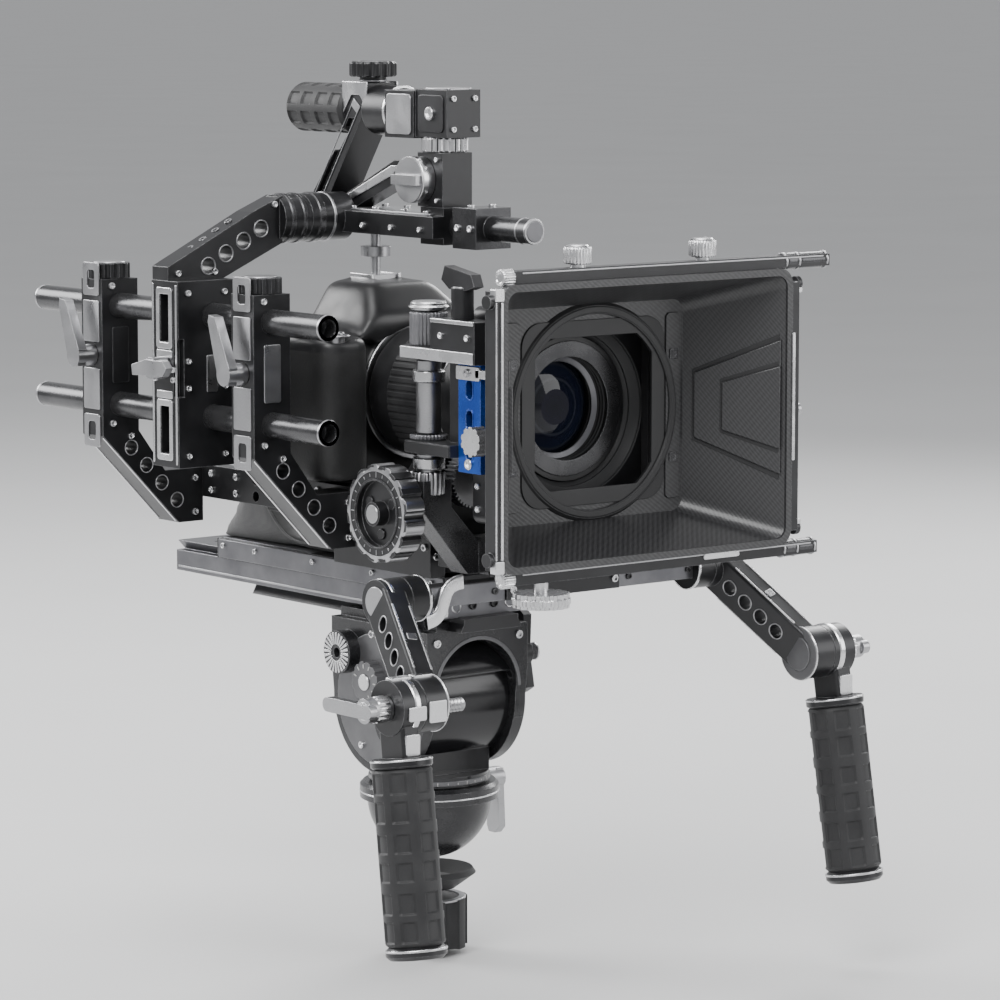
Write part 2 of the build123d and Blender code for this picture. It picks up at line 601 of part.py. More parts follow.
# --------------------------------------------------------------------------- handle arm
ARM_Y = (62.0, 78.0)
ARM_SLOPE = math.atan2(47, 88)  # slope of the arm, which its holes follow

with BuildPart() as handle_arm:
    profile = [(-145, 314), (-105, 314), (-62, 333), (-62, 361), (-84, 352), (-145, 322)]
    slab(front_plane(ARM_Y[1]), profile, ARM_Y[1] - ARM_Y[0])
    x_rod(KNUCKLE_R, (-64, KNUCKLE_X - 0.2), KNUCKLE_Y, KNUCKLE_Z)
    for step in range(4):
        along = 18 + 14.5 * step
        x = -132 + along * math.cos(ARM_SLOPE)
        z = 313 + along * math.sin(ARM_SLOPE)
        y_rod(4.5, x, (ARM_Y[0] - 1, ARM_Y[1] + 1), z, mode=Mode.SUBTRACT)
    x_rod(AXLE_R + FIT, (-66, -40), KNUCKLE_Y, KNUCKLE_Z, mode=Mode.SUBTRACT)
save(handle_arm, "handle_arm")

# --------------------------------------------------------------------------- top handle
with BuildPart() as top_plate:
    block((-20, 20), TOP_PLATE_Y, TOP_PLATE_Z)
    block((-12, 12), (-30, -8), (334, 356))
    x_rod(KNUCKLE_R, (KNUCKLE_X + 0.2, -20), KNUCKLE_Y, KNUCKLE_Z)
    x_rod(KNUCKLE_R, (-20, -12), KNUCKLE_Y, KNUCKLE_Z)
    x_rod(AXLE_R, (-60, -40), KNUCKLE_Y, KNUCKLE_Z)
    y_rod(ROD_R, 0, (-31, TOP_ROD_Y[1]), TOP_ROD_Z, mode=Mode.SUBTRACT)
    with Locations((0, 22, 345)):
        with GridLocations(24, 14, 2, 3):
            Cylinder(3.2, 20, mode=Mode.SUBTRACT)
    z_rod(PIN_R, 0, SHOE_POST_Y, (TOP_PLATE_Z[0] - 1, 345), mode=Mode.SUBTRACT)
save(top_plate, "top_plate")

with BuildPart() as top_rod:
    y_rod(ROD_R, 0, TOP_ROD_Y, TOP_ROD_Z)
    block((-13, 13), (-62, -40), (TOP_ROD_Z - 12, TOP_ROD_Z + 12))
save(top_rod, "top_rod")

with BuildPart() as shoe_post:
    z_rod(PIN_R, 0, SHOE_POST_Y, (311, 345))
    z_rod(9, 0, SHOE_POST_Y, (323, 329))
    block((-9.1, 9.1), (43, 61), (SHOE_Z + 0.2, SHOE_Z + 3))
save(shoe_post, "shoe_post")

with BuildPart() as handle_frame:
    strut = [(108, 351), (89, 351), (46, 414), (46, 427), (68, 427), (68, 398)]
    slab(left_plane(11), [(-y, z) for y, z in strut], 22)
    brace = [(92, 351), (66, 351), (14, 372), (14, 382), (24, 382)]
    slab(left_plane(7), [(-y, z) for y, z in brace], 14)
    pocket = [(-98, 358), (-91, 358), (-58, 406), (-64, 406)]
    for x in ((-12, -7.5), (7.5, 12)):
        slab(left_plane(x[1]), pocket, x[1] - x[0], mode=Mode.SUBTRACT)
    z_rod(AXLE_R + FIT, 0, HANDLE_KNOB_Y, (420, 428), mode=Mode.SUBTRACT)
save(handle_frame, "handle_frame")

with BuildPart() as handle_grip:
    y_rod(HANDLE_R, 0, (70, 124), HANDLE_Z)
    y_rod(9, 0, (68, 70), HANDLE_Z)
    fillet(handle_grip.edges().sort_by(Axis.Y)[-1], 5)
save(handle_grip, "handle_grip")

with BuildPart() as handle_knob:
    z_rod(AXLE_R, 0, HANDLE_KNOB_Y, (420.3, 430))
    z_rod(8, 0, HANDLE_KNOB_Y, (427 + GAP, 431))
    fluted_disc(Plane(origin=(0, HANDLE_KNOB_Y, 431)), 14, 9, 12, 2.4)
save(handle_knob, "handle_knob")

DISC = (-8.0, 372.0)  # Y and Z of the disc knob on the front column

with BuildPart() as accessory_block:
    y_rod(HANDLE_R, 0, (24, 46), HANDLE_Z)
    block((-14, 14), (-4, 24), (396, 424))
    block((-12.5, 12.5), (-34, -4), (397, 425))
    fluted_disc(Plane(origin=(0, -16, 388)), 13, 9, 16, 1.4)
    block((-11, 11), (-28, -4), (356, 388))
    x_rod(AXLE_R + FIT, (-12, -4), *DISC, mode=Mode.SUBTRACT)
save(accessory_block, "accessory_block")

with BuildPart() as handle_disc_knob:
    x_rod(AXLE_R, (-13, -4.3), *DISC)
    x_rod(13.5, (-21, -11 - GAP), *DISC)
    slab(left_plane(-21, *DISC), [(-12, -3), (-12, 3), (12, 3), (12, -3)], 4)
save(handle_disc_knob, "handle_disc_knob")

# ---------------------------------------------------------------------------- handgrips
with BuildPart() as grip_crossbar:
    block((-42, 42), (-127, -112), (137, 170))
    block((-104, 104), (-125, -113), (137, 149))
    for x in ((-CROSSBAR_END, -100), (100, CROSSBAR_END)):
        x_rod(13, x, *CROSSBAR)
        x_rod(AXLE_R + FIT, (x[0] - 1, x[1] + 1), *CROSSBAR, mode=Mode.SUBTRACT)
    for x in (-BASE_ROD_X, BASE_ROD_X):
        y_rod(ROD_R, x, (-128, -111), BASE_ROD_Z, mode=Mode.SUBTRACT)
save(grip_crossbar, "grip_crossbar")

ARM_START = Vector(123, *CROSSBAR)
ARM_END = Vector(144.4, KNUCKLE_LOW[1], KNUCKLE_LOW[2])
GRIP_TOP_R = 15.5
HALF_JOINT = 0.2  # half the gap between two rosette faces


def outward(side, low, high):
    """An x range given for the +X side, mirrored when side is -1."""
    return (low, high) if side > 0 else (-high, -low)


for side, name in ((1, "left"), (-1, "right")):
    start = Vector(side * ARM_START.X, ARM_START.Y, ARM_START.Z)
    end = Vector(side * ARM_END.X, ARM_END.Y, ARM_END.Z)
    along = (end - start).normalized()
    across = Vector(1, 0, 0) - along * along.X
    run = Plane(origin=start, x_dir=across, z_dir=along)
    length = (end - start).length

    with BuildPart() as grip_arm:
        x_rod(13, outward(side, CROSSBAR_END + 0.4, 130), *CROSSBAR)
        x_rod(AXLE_R, outward(side, 101, 116), *CROSSBAR)
        with BuildSketch(run) as section:
            RectangleRounded(14, 25, 2)
        extrude(section.sketch, amount=length)
        x_rod(GRIP_TOP_R, outward(side, 138, KNUCKLE_LOW[0] - HALF_JOINT), *KNUCKLE_LOW[1:])
        for step in range(4):
            spot = start + along * (19 + 13 * step)
            with Locations(Plane(origin=spot, z_dir=across)):
                Cylinder(4.2, 40, mode=Mode.SUBTRACT)
        x_rod(AXLE_R + FIT, outward(side, 136, 153), *KNUCKLE_LOW[1:], mode=Mode.SUBTRACT)
    save(grip_arm, f"grip_arm_{name}")

    knuckle = Vector(side * 161, KNUCKLE_LOW[1], KNUCKLE_LOW[2])
    grip_end = Vector(side * GRIP_END[0], GRIP_END[1], GRIP_END[2])
    down = (grip_end - knuckle).normalized()
    hang = Plane(origin=knuckle, x_dir=Vector(1, 0, 0) - down * down.X, z_dir=down)

    with BuildPart() as grip_yoke:
        x_rod(GRIP_TOP_R, outward(side, KNUCKLE_LOW[0] + HALF_JOINT, 168), *KNUCKLE_LOW[1:])
        x_rod(AXLE_R, outward(side, 139, 156), *KNUCKLE_LOW[1:])
        with BuildSketch(hang.offset(4)) as neck:
            RectangleRounded(12, 22, 2)
        extrude(neck.sketch, amount=24)
        with BuildSketch(hang.offset(28)) as collar:
            Circle(16.5)
        extrude(collar.sketch, amount=5)
        x_rod(PIN_R + FIT, outward(side, 160, 169), *KNUCKLE_LOW[1:], mode=Mode.SUBTRACT)
    save(grip_yoke, f"grip_yoke_{name}")

    with BuildPart() as grip_lever:
        x_rod(PIN_R, outward(side, 160.3, 170), *KNUCKLE_LOW[1:])
        x_rod(7, outward(side, 168 + GAP, 184), *KNUCKLE_LOW[1:])
        lever = Plane(origin=(side * 181, *KNUCKLE_LOW[1:]), x_dir=(0, 1, 0), z_dir=(side, 0, 0))
        with BuildSketch(lever) as bar:
            with Locations((13, 0)):
                SlotOverall(44, 8)
        extrude(bar.sketch, amount=5)
    save(grip_lever, f"grip_lever_{name}")

    with BuildPart() as grip_handle:
        with BuildSketch(hang.offset(33)) as tube:
            Circle(16)
        extrude(tube.sketch, amount=98)
        with BuildSketch(hang.offset(131)) as cap:
            Circle(17)
        extrude(cap.sketch, amount=7)
    save(grip_handle, f"grip_handle_{name}")
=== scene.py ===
import itertools
import math

import bmesh
import bpy
from mathutils import Matrix, Vector


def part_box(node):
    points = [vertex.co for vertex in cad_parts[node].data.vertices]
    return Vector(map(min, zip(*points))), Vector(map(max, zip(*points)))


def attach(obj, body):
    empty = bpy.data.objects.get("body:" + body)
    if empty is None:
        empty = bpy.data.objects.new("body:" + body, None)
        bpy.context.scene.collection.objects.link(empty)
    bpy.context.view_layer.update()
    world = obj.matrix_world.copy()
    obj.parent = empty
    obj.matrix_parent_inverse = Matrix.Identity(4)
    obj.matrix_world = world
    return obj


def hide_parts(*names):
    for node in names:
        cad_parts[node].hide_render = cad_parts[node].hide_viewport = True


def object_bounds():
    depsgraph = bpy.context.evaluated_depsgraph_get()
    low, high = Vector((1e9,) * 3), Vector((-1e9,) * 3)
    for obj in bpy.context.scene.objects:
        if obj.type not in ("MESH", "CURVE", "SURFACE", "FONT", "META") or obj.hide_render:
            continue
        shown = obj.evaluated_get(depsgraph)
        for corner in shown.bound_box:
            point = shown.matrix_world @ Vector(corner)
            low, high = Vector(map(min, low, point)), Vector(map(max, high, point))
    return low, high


# Looks of the cinema camera rig. Lengths in the building code are millimetres; MM turns
# them into Blender's metres. Places come from the boxes of the frame's nodes.

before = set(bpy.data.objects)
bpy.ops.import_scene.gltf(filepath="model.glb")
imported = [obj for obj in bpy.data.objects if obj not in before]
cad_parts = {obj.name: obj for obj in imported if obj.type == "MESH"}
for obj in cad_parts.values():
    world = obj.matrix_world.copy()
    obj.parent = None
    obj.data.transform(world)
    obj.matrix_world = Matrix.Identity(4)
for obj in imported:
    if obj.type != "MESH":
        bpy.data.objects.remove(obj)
cad_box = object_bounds()

MM = 0.001
SIDES = (-1, 1)
SIDE_NAMES = {1: "left", -1: "right"}  # the operator's left is +X


def corners(node):
    """A node's box in mm: lowest corner, highest corner, middle."""
    low, high = (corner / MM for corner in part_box(node))
    return low, high, (low + high) / 2


def linked(name, data):
    """A new object in the scene."""
    made = bpy.data.objects.new(name, data)
    bpy.context.scene.collection.objects.link(made)
    return made


# ---- camera
AIM = Vector((-15.5, -87.5, 189.1)) * MM
DISTANCE = 2.6
AZIMUTH, ELEVATION = math.radians(-38.7), math.radians(7.1)
FOCAL_LENGTH = 161.0

back = Vector(
    (
        math.sin(AZIMUTH) * math.cos(ELEVATION),
        -math.cos(AZIMUTH) * math.cos(ELEVATION),
        math.sin(ELEVATION),
    )
)
camera = linked("camera", bpy.data.cameras.new("camera"))
camera.data.lens = FOCAL_LENGTH
camera.data.clip_start, camera.data.clip_end = 0.05, 200.0
camera.location = AIM + back * DISTANCE
camera.rotation_euler = (-back).to_track_quat("-Z", "Y").to_euler()
bpy.context.scene.camera = camera


# ---- materials
class Finish:
    """A procedural material. Its pattern is in metres of the object's own space."""

    def __init__(self, name, **settings):
        self.material = bpy.data.materials.new(name)
        self.material.use_nodes = True
        self.tree = self.material.node_tree
        self.shader = self.tree.nodes["Principled BSDF"]
        for socket, value in settings.items():
            self.shader.inputs[socket.replace("_", " ")].default_value = value
        self.space = self.add("TexCoord").outputs["Object"]

    def add(self, kind, inputs=None, **options):
        node = self.tree.nodes.new("ShaderNode" + kind)
        for option, value in options.items():
            setattr(node, option, value)
        for socket, value in (inputs or {}).items():
            if isinstance(value, bpy.types.NodeSocket):
                self.tree.links.new(value, node.inputs[socket])
            else:
                node.inputs[socket].default_value = value
        return node

    def to_shader(self, socket, output):
        self.tree.links.new(output, self.shader.inputs[socket])

    def noise(self, scale, detail=2.0, stretch=None):
        """Noise from 0 to 1. stretch scales the space along each axis first, for grain."""
        space = self.space
        if stretch:
            space = self.add("Mapping", {"Vector": space, "Scale": stretch}).outputs["Vector"]
        inputs = {"Vector": space, "Scale": scale, "Detail": detail, "Roughness": 0.55}
        return self.add("TexNoise", inputs).outputs["Fac"]

    def cells(self, scale):
        inputs = {"Vector": self.space, "Scale": scale}
        return self.add("TexVoronoi", inputs, feature="F1").outputs["Distance"]

    def math(self, operation, first, second=0.0):
        return self.add("Math", {0: first, 1: second}, operation=operation).outputs[0]

    def spread(self, value, low, high, to_low, to_high):
        """Carries a value from one range to another and clamps it."""
        keys = {"Value": value, "From Min": low, "From Max": high, "To Min": to_low, "To Max": to_high}
        return self.add("MapRange", keys).outputs["Result"]

    def mix(self, factor, first, second):
        node = self.add("Mix", {"Factor": factor}, data_type="RGBA")
        for socket, value in ((6, first), (7, second)):
            if isinstance(value, bpy.types.NodeSocket):
                self.tree.links.new(value, node.inputs[socket])
            else:
                node.inputs[socket].default_value = (*value, 1.0)
        return node.outputs[2]

    def edges(self, radius, low=0.02, high=0.22):
        """1 along outer edges and 0 on open faces, broken up a little, and the eased normal."""
        eased = self.add("Bevel", {"Radius": radius}, samples=4).outputs["Normal"]
        true = self.add("NewGeometry").outputs["Normal"]
        dot = self.add("VectorMath", {0: eased, 1: true}, operation="DOT_PRODUCT")
        turned = self.math("SUBTRACT", 1.0, dot.outputs["Value"])
        broken = self.spread(self.noise(420.0, 3.0), 0.35, 0.6, 0.25, 1.0)
        return self.math("MULTIPLY", self.spread(turned, low, high, 0.0, 1.0), broken), eased

    def bump(self, height, distance, strength=1.0, normal=None):
        inputs = {"Height": height, "Distance": distance, "Strength": strength}
        if normal is not None:
            inputs["Normal"] = normal
        self.to_shader("Normal", self.add("Bump", inputs).outputs["Normal"])


def anodised(name, dark, light, roughness, wear, metallic=0.35, grain=(1.0, 1.0, 1.0)):
    """Bead-blasted and dyed aluminium, worn brighter along its edges."""
    look = Finish(name, Metallic=metallic, IOR=1.6)
    edge, eased = look.edges(0.0007)
    cloud = look.noise(38.0, 4.0)
    grit = look.noise(2600.0, 2.0, grain)
    body = look.mix(look.spread(cloud, 0.35, 0.65, 0.0, 1.0), dark, light)
    look.to_shader("Base Color", look.mix(look.math("MULTIPLY", edge, 0.75), body, wear))
    rough = look.spread(look.math("ADD", look.math("MULTIPLY", grit, 0.5), cloud), 0.5, 1.0, -0.06, 0.06)
    look.to_shader("Roughness", look.math("ADD", rough, roughness))
    look.bump(grit, 0.00003, 0.35, eased)
    return look.material


def bright_metal(name, dark, light, roughness, stretch=(1.0, 1.0, 14.0)):
    """Satin bare metal with fine turning or brushing lines and a few faint smudges."""
    look = Finish(name, Metallic=1.0)
    _, eased = look.edges(0.0005)
    lines = look.noise(900.0, 3.0, stretch)
    smudge = look.noise(70.0, 3.0)
    look.to_shader("Base Color", look.mix(look.spread(lines, 0.3, 0.7, 0.0, 1.0), dark, light))
    blur = look.spread(smudge, 0.3, 0.75, roughness - 0.05, roughness + 0.11)
    look.to_shader("Roughness", blur)
    look.bump(lines, 0.00002, 0.4, eased)
    return look.material


def moulded(name, dark, light, roughness, cell_scale, depth, sheen=0.0):
    """Moulded rubber or plastic with a leather-like grain and a little dust in it."""
    look = Finish(name, IOR=1.48, Sheen_Weight=sheen, Sheen_Roughness=0.4)
    _, eased = look.edges(0.0006)
    grain = look.cells(cell_scale)
    dust = look.noise(55.0, 5.0)
    shade = look.mix(look.spread(dust, 0.38, 0.68, 0.0, 1.0), dark, light)
    fine = look.spread(grain, 0.0, 0.6, 0.0, 0.5)
    look.to_shader("Base Color", look.mix(fine, shade, dark))
    look.to_shader("Roughness", look.spread(dust, 0.3, 0.7, roughness - 0.06, roughness + 0.08))
    look.bump(grain, depth, 0.6, eased)
    return look.material


def woven_carbon(name):
    """Twill carbon cloth under satin lacquer: slanted tows that pass over and under."""
    look = Finish(name, IOR=1.5, Coat_Weight=0.25, Coat_Roughness=0.22, Roughness=0.4)
    split = look.add("SeparateXYZ", {"Vector": look.space})
    x, y, z = (split.outputs[axis] for axis in "XYZ")
    run = look.math("SUBTRACT", look.math("MULTIPLY", x, 0.7), look.math("MULTIPLY", y, 0.9))
    rise = look.math("ADD", run, z)
    across = look.math("SUBTRACT", run, z)
    tow = 2 * math.pi / 0.0026
    over = look.math("SINE", look.math("MULTIPLY", rise, tow))
    under = look.math("SINE", look.math("MULTIPLY", across, tow * 0.5))
    weave = look.math("ADD", look.math("MULTIPLY", over, 0.8), look.math("MULTIPLY", under, 0.3))
    fibre = look.noise(1500.0, 2.0, (1.0, 1.0, 0.2))
    tone = look.spread(look.math("ADD", weave, look.math("MULTIPLY", fibre, 0.6)), -0.8, 1.4, 0.0, 1.0)
    look.to_shader("Base Color", look.mix(tone, (0.016, 0.016, 0.017), (0.040, 0.040, 0.042)))
    look.bump(weave, 0.00008, 0.35)
    return look.material


def coated_glass(name):
    """A dark multi-coated front element with painted reflections: bright rings of inner elements and a
    bluish coating.
    """
    look = Finish(name, Roughness=0.05, IOR=1.33, Coat_Weight=0.15, Coat_Roughness=0.02)
    axis = corners("front_element")[2]
    centre = (0.0, -axis.y * MM, -axis.z * MM)
    moved = look.add("VectorMath", {0: look.space, 1: centre}, operation="ADD").outputs[0]
    flat = look.add("VectorMath", {0: moved, 1: (1.0, 0.0, 1.0)}, operation="MULTIPLY").outputs[0]
    away = look.add("VectorMath", {0: flat}, operation="LENGTH").outputs["Value"]
    ramp = look.add("ValToRGB", {"Fac": look.math("MULTIPLY", away, 1 / 0.030)})
    # painted reflections: thin bright rings where the inner elements' rims catch light, dark between them
    stops = (
        (0.0, (0.004, 0.004, 0.006)),
        (0.30, (0.007, 0.006, 0.012)),
        (0.50, (0.004, 0.005, 0.007)),
        (0.54, (0.030, 0.032, 0.038)),
        (0.58, (0.006, 0.006, 0.010)),
        (0.78, (0.010, 0.012, 0.022)),
        (0.83, (0.034, 0.036, 0.040)),
        (0.87, (0.008, 0.008, 0.010)),
        (1.0, (0.015, 0.016, 0.018)),
    )
    elements = ramp.color_ramp.elements
    elements[0].color = (*stops[0][1], 1.0)
    elements[1].color = (*stops[-1][1], 1.0)
    for place, colour in stops[1:-1]:
        elements.new(place).color = (*colour, 1.0)
    # painted coating reflection: a bluish colour mixed in more at grazing view
    facing = look.add("LayerWeight", {"Blend": 0.35}).outputs["Facing"]
    painted_coating_reflection = look.mix(look.math("MULTIPLY", facing, 0.6), ramp.outputs["Color"], (0.02, 0.03, 0.07))
    look.to_shader("Base Color", painted_coating_reflection)
    look.bump(look.noise(25.0, 1.0), 0.00001, 0.1)
    return look.material


def foam_cloth(name):
    """Close-knit grey cloth over foam, a little fuzzy, with painted shade in the hollows of the knit."""
    look = Finish(name, IOR=1.4, Sheen_Weight=0.35, Sheen_Roughness=0.5)
    split = look.add("SeparateXYZ", {"Vector": look.space})
    x, y, z = (split.outputs[axis] for axis in "XYZ")
    knit = 2 * math.pi / 0.0011
    rows = look.math("SINE", look.math("MULTIPLY", look.math("ADD", y, z), knit))
    columns = look.math("SINE", look.math("MULTIPLY", x, knit))
    weave = look.math("MULTIPLY", rows, columns)
    fuzz = look.noise(1800.0, 3.0)
    worn = look.noise(32.0, 4.0)
    shade = look.mix(look.spread(worn, 0.35, 0.65, 0.0, 1.0), (0.085, 0.085, 0.087), (0.125, 0.125, 0.125))
    # painted shade: the colour darkens where the knit's bump height is low
    dip = look.spread(look.math("ADD", weave, fuzz), -0.6, 1.4, 0.35, 0.0)
    look.to_shader("Base Color", look.mix(dip, shade, (0.05, 0.05, 0.05)))
    look.to_shader("Roughness", look.spread(fuzz, 0.3, 0.7, 0.82, 0.94))
    look.bump(look.math("ADD", weave, fuzz), 0.00015, 0.6)
    return look.material


BLACK = anodised("black_anodised", (0.011, 0.011, 0.012), (0.020, 0.020, 0.022), 0.34, (0.30, 0.30, 0.31))
ROD = anodised("rod_black", (0.055, 0.055, 0.058), (0.085, 0.085, 0.088), 0.27, (0.30, 0.30, 0.31), 0.75)
GREY = anodised("grey_anodised", (0.13, 0.13, 0.14), (0.19, 0.19, 0.20), 0.36, (0.55, 0.55, 0.56), 0.75)
HEAD = anodised("head_grey", (0.020, 0.020, 0.022), (0.034, 0.034, 0.036), 0.27, (0.30, 0.30, 0.31), 0.3)
DRUM = anodised("drum_black", (0.010, 0.010, 0.011), (0.016, 0.016, 0.018), 0.17, (0.24, 0.24, 0.25), 0.3)
HEAD_SIDE = anodised("head_side", (0.10, 0.10, 0.105), (0.15, 0.15, 0.155), 0.36, (0.40, 0.40, 0.41), 0.5)
BLUE = anodised("blue_anodised", (0.010, 0.060, 0.36), (0.020, 0.100, 0.48), 0.28, (0.30, 0.42, 0.80), 0.7)
SILVER = bright_metal("silver", (0.58, 0.58, 0.59), (0.80, 0.80, 0.81), 0.24)
DULL_SILVER = bright_metal("dull_silver", (0.34, 0.34, 0.35), (0.50, 0.50, 0.51), 0.32)
RUBBER = moulded("rubber_black", (0.012, 0.012, 0.013), (0.030, 0.030, 0.031), 0.55, 1400.0, 0.00008, 0.08)
PLASTIC = moulded("camera_black", (0.013, 0.013, 0.014), (0.022, 0.022, 0.023), 0.36, 2400.0, 0.00003)
SKIN = moulded("camera_skin", (0.012, 0.012, 0.012), (0.024, 0.024, 0.025), 0.56, 850.0, 0.00012, 0.05)
SHADE = moulded("shade_black", (0.015, 0.015, 0.016), (0.026, 0.026, 0.027), 0.50, 2600.0, 0.00004)
CARBON = woven_carbon("shade_carbon")
GLASS = coated_glass("lens_glass")
SCREEN = moulded("screen_glass", (0.005, 0.005, 0.006), (0.009, 0.009, 0.010), 0.10, 3000.0, 0.000005)
CLOTH = foam_cloth("pad_grey")
INK = moulded("white_ink", (0.45, 0.45, 0.44), (0.62, 0.62, 0.60), 0.50, 3000.0, 0.00001)

NODES_OF_FINISH = {
    BLACK: """tilt_lock_lever head_plate baseplate side_plate focus_gearbox front_bracket rear_bracket
        grip_crossbar focus_hand_wheel swing_arm filter_stage shade_rails swing_lock_lever front_rod_knob
        rear_rod_knob slide_clamp handle_arm top_plate handle_frame accessory_block handle_knob
        grip_arm_left grip_arm_right grip_yoke_left grip_yoke_right""",
    DULL_SILVER: """pan_lock_lever shutter_button focus_pinion front_ratchet_lever rear_ratchet_lever
        clamp_ratchet_lever shoe_post handle_disc_knob grip_lever_left grip_lever_right""",
    ROD: "base_rods swing_bracket side_rods top_rod",
    PLASTIC: "lens_barrel mode_dial focus_gear_ring",
    HEAD: "half_ball tilt_body",
    DRUM: "pan_housing",
    HEAD_SIDE: "drag_dial",
    RUBBER: "tie_down_knob zoom_ring",
    SILVER: "plate_clamp_lever shade_knobs",
    GREY: "dovetail_plate",
    GLASS: "front_element",
    BLUE: "stage_link",
    CARBON: "sunshade",
    SHADE: "filter_tray",
}
for finish, names in NODES_OF_FINISH.items():
    for node in names.split():
        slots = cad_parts[node].data.materials
        slots.clear()
        slots.append(finish)

# Lines that several pieces share: Y and Z of each.
HANDLE_PIVOT = (70, 347)  # the top handle's tilt axis
ARM_AXIS = (-119, 143)  # the grip arms' rosettes on the crossbar
KNUCKLE_AXIS = (-179, 95)  # the lower knuckles of the handgrips


# ---- mesh building
RIGHT, LEFT = (-1, 0, 0), (1, 0, 0)  # the operator's right is -X
FRONT, REAR = (0, -1, 0), (0, 1, 0)
UP = (0, 0, 1)
SUNK = -0.2  # a trim part starts this far inside the face that it stands on


def placed(at, axis, up=UP):
    """A local frame in mm: its Z along axis, its Y as near to up as it can be."""
    z = Vector(axis).normalized()
    guide = Vector(up)
    if abs(guide.normalized().dot(z)) > 0.99:
        guide = Vector(REAR if abs(z.y) < 0.9 else LEFT)
    x = guide.cross(z).normalized()
    turn = Matrix((x, z.cross(x), z)).transposed().to_4x4()
    return Matrix.Translation(Vector(at)) @ turn


def grid(*choices):
    """Every point that takes each coordinate from its own value or tuple of values."""
    lists = [values if isinstance(values, tuple) else (values,) for values in choices]
    return list(itertools.product(*lists))


def turned(count):
    """Evenly spaced places round a turn: each is (number, angle, cosine, sine)."""
    angles = [2 * math.pi * i / count for i in range(count)]
    return [(i, a, math.cos(a), math.sin(a)) for i, a in enumerate(angles)]


def lathe(bm, place, profile, segments=40, loop=False):
    """Turns (radius, height) points about the local Z. A radius may be a function of the angle."""
    loops = []
    for radius, height in profile:
        if radius == 0:
            loops.append([bm.verts.new(place @ Vector((0, 0, height)))])
            continue
        reach = radius if callable(radius) else lambda _, r=radius: r
        spots = [(reach(a) * x, reach(a) * y, height) for _, a, x, y in turned(segments)]
        loops.append([bm.verts.new(place @ Vector(spot)) for spot in spots])
    pairs = list(zip(loops, loops[1:]))
    if loop:
        pairs.append((loops[-1], loops[0]))
    for low, high in pairs:
        for i in range(segments):
            j = (i + 1) % segments
            corners_of = [low[i % len(low)], low[j % len(low)], high[j % len(high)], high[i % len(high)]]
            bm.faces.new(dict.fromkeys(corners_of))


def prism(bm, place, outline, low, high):
    """An outline in the local XY, from one height to another."""
    loops = [[bm.verts.new(place @ Vector((x, y, z))) for x, y in outline] for z in (low, high)]
    bm.faces.new(loops[0])
    bm.faces.new(reversed(loops[1]))
    for i in range(len(outline)):
        j = (i + 1) % len(outline)
        bm.faces.new((loops[0][i], loops[0][j], loops[1][j], loops[1][i]))


def frame_plate(bm, place, outer, inner, low, high):
    """A flat frame between two outlines with the same number of points."""
    loops = [
        [bm.verts.new(place @ Vector((x, y, z))) for x, y in outline]
        for outline, z in ((outer, low), (outer, high), (inner, high), (inner, low))
    ]
    for first, second in zip(loops, loops[1:] + loops[:1]):
        for i in range(len(outer)):
            j = (i + 1) % len(outer)
            bm.faces.new((first[i], first[j], second[j], second[i]))


def rounded(width, height, radius, steps=5, centre=(0, 0)):
    """The outline of a rectangle with rounded corners."""
    points = []
    for quarter, (sx, sy) in enumerate(((1, 1), (-1, 1), (-1, -1), (1, -1))):
        for step in range(steps + 1):
            angle = math.pi / 2 * (quarter + step / steps)
            x = sx * (width / 2 - radius) + radius * math.cos(angle)
            y = sy * (height / 2 - radius) + radius * math.sin(angle)
            points.append((centre[0] + x, centre[1] + y))
    return points


def inset(outline, share):
    """A smaller copy of an outline about its own middle."""
    cx = sum(x for x, _ in outline) / len(outline)
    cy = sum(y for _, y in outline) / len(outline)
    return [(cx + (x - cx) * share, cy + (y - cy) * share) for x, y in outline]


def ribs(radius, depth, count):
    """A radius that dips count times round the turn, for knurled and fluted rims."""
    return lambda angle: radius - depth * (0.5 + 0.5 * math.cos(count * angle)) ** 2


def hexagon(across_flats):
    """The radius of a hexagon at an angle."""
    sector = math.pi / 3
    return lambda angle: across_flats / 2 / math.cos((angle % sector) - sector / 2)


def screw(bm, at, axis, radius=2.5, height=1.6):
    """A socket-head screw, its head standing on the point at."""
    key = hexagon(radius * 1.15)
    profile = [(radius, -0.3), (radius, height * 0.75), (radius * 0.88, height)]
    lathe(bm, placed(at, axis), profile + [(key, height), (key, height * 0.35), (0, height * 0.35)], 24)


def collar(bm, at, axis, radius, low, high, ease=0.4, inner=None):
    """A turned ring or disc with eased edges, solid unless it has an inner radius."""
    rim = [(radius - ease, low), (radius, low + ease), (radius, high - ease), (radius - ease, high)]
    if inner is None:
        lathe(bm, placed(at, axis), [(0, low)] + rim + [(0, high)])
    else:
        lathe(bm, placed(at, axis), rim + [(inner, high), (inner, low)], loop=True)


def ride_as(made, body):
    """Puts an object on its body."""
    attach(made, body)
    return made


def piece(name, bm, finish, body, bevel=0.0, node=None):
    """Makes the object, in metres, on its body. With node, it stands for that CAD node."""
    bmesh.ops.recalc_face_normals(bm, faces=bm.faces)
    mesh = bpy.data.meshes.new(name)
    bm.to_mesh(mesh)
    bm.free()
    mesh.transform(Matrix.Scale(MM, 4))
    mesh.materials.append(finish)
    mesh.shade_smooth()
    mesh.set_sharp_from_angle(angle=math.radians(32))
    made = linked(name, mesh)
    if bevel:
        ease = made.modifiers.new("eased edges", "BEVEL")
        ease.width = bevel * MM
        ease.segments = 2
        ease.limit_method = "ANGLE"
        ease.angle_limit = math.radians(40)
    ride_as(made, body)
    if node:
        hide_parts(node)
    return made


def group(name, body, finish, build, spots, bevel=0.0):
    """One piece of like parts, each built from its own arguments."""
    bm = bmesh.new()
    for spot in spots:
        build(bm, *spot)
    return piece(name, bm, finish, body, bevel)


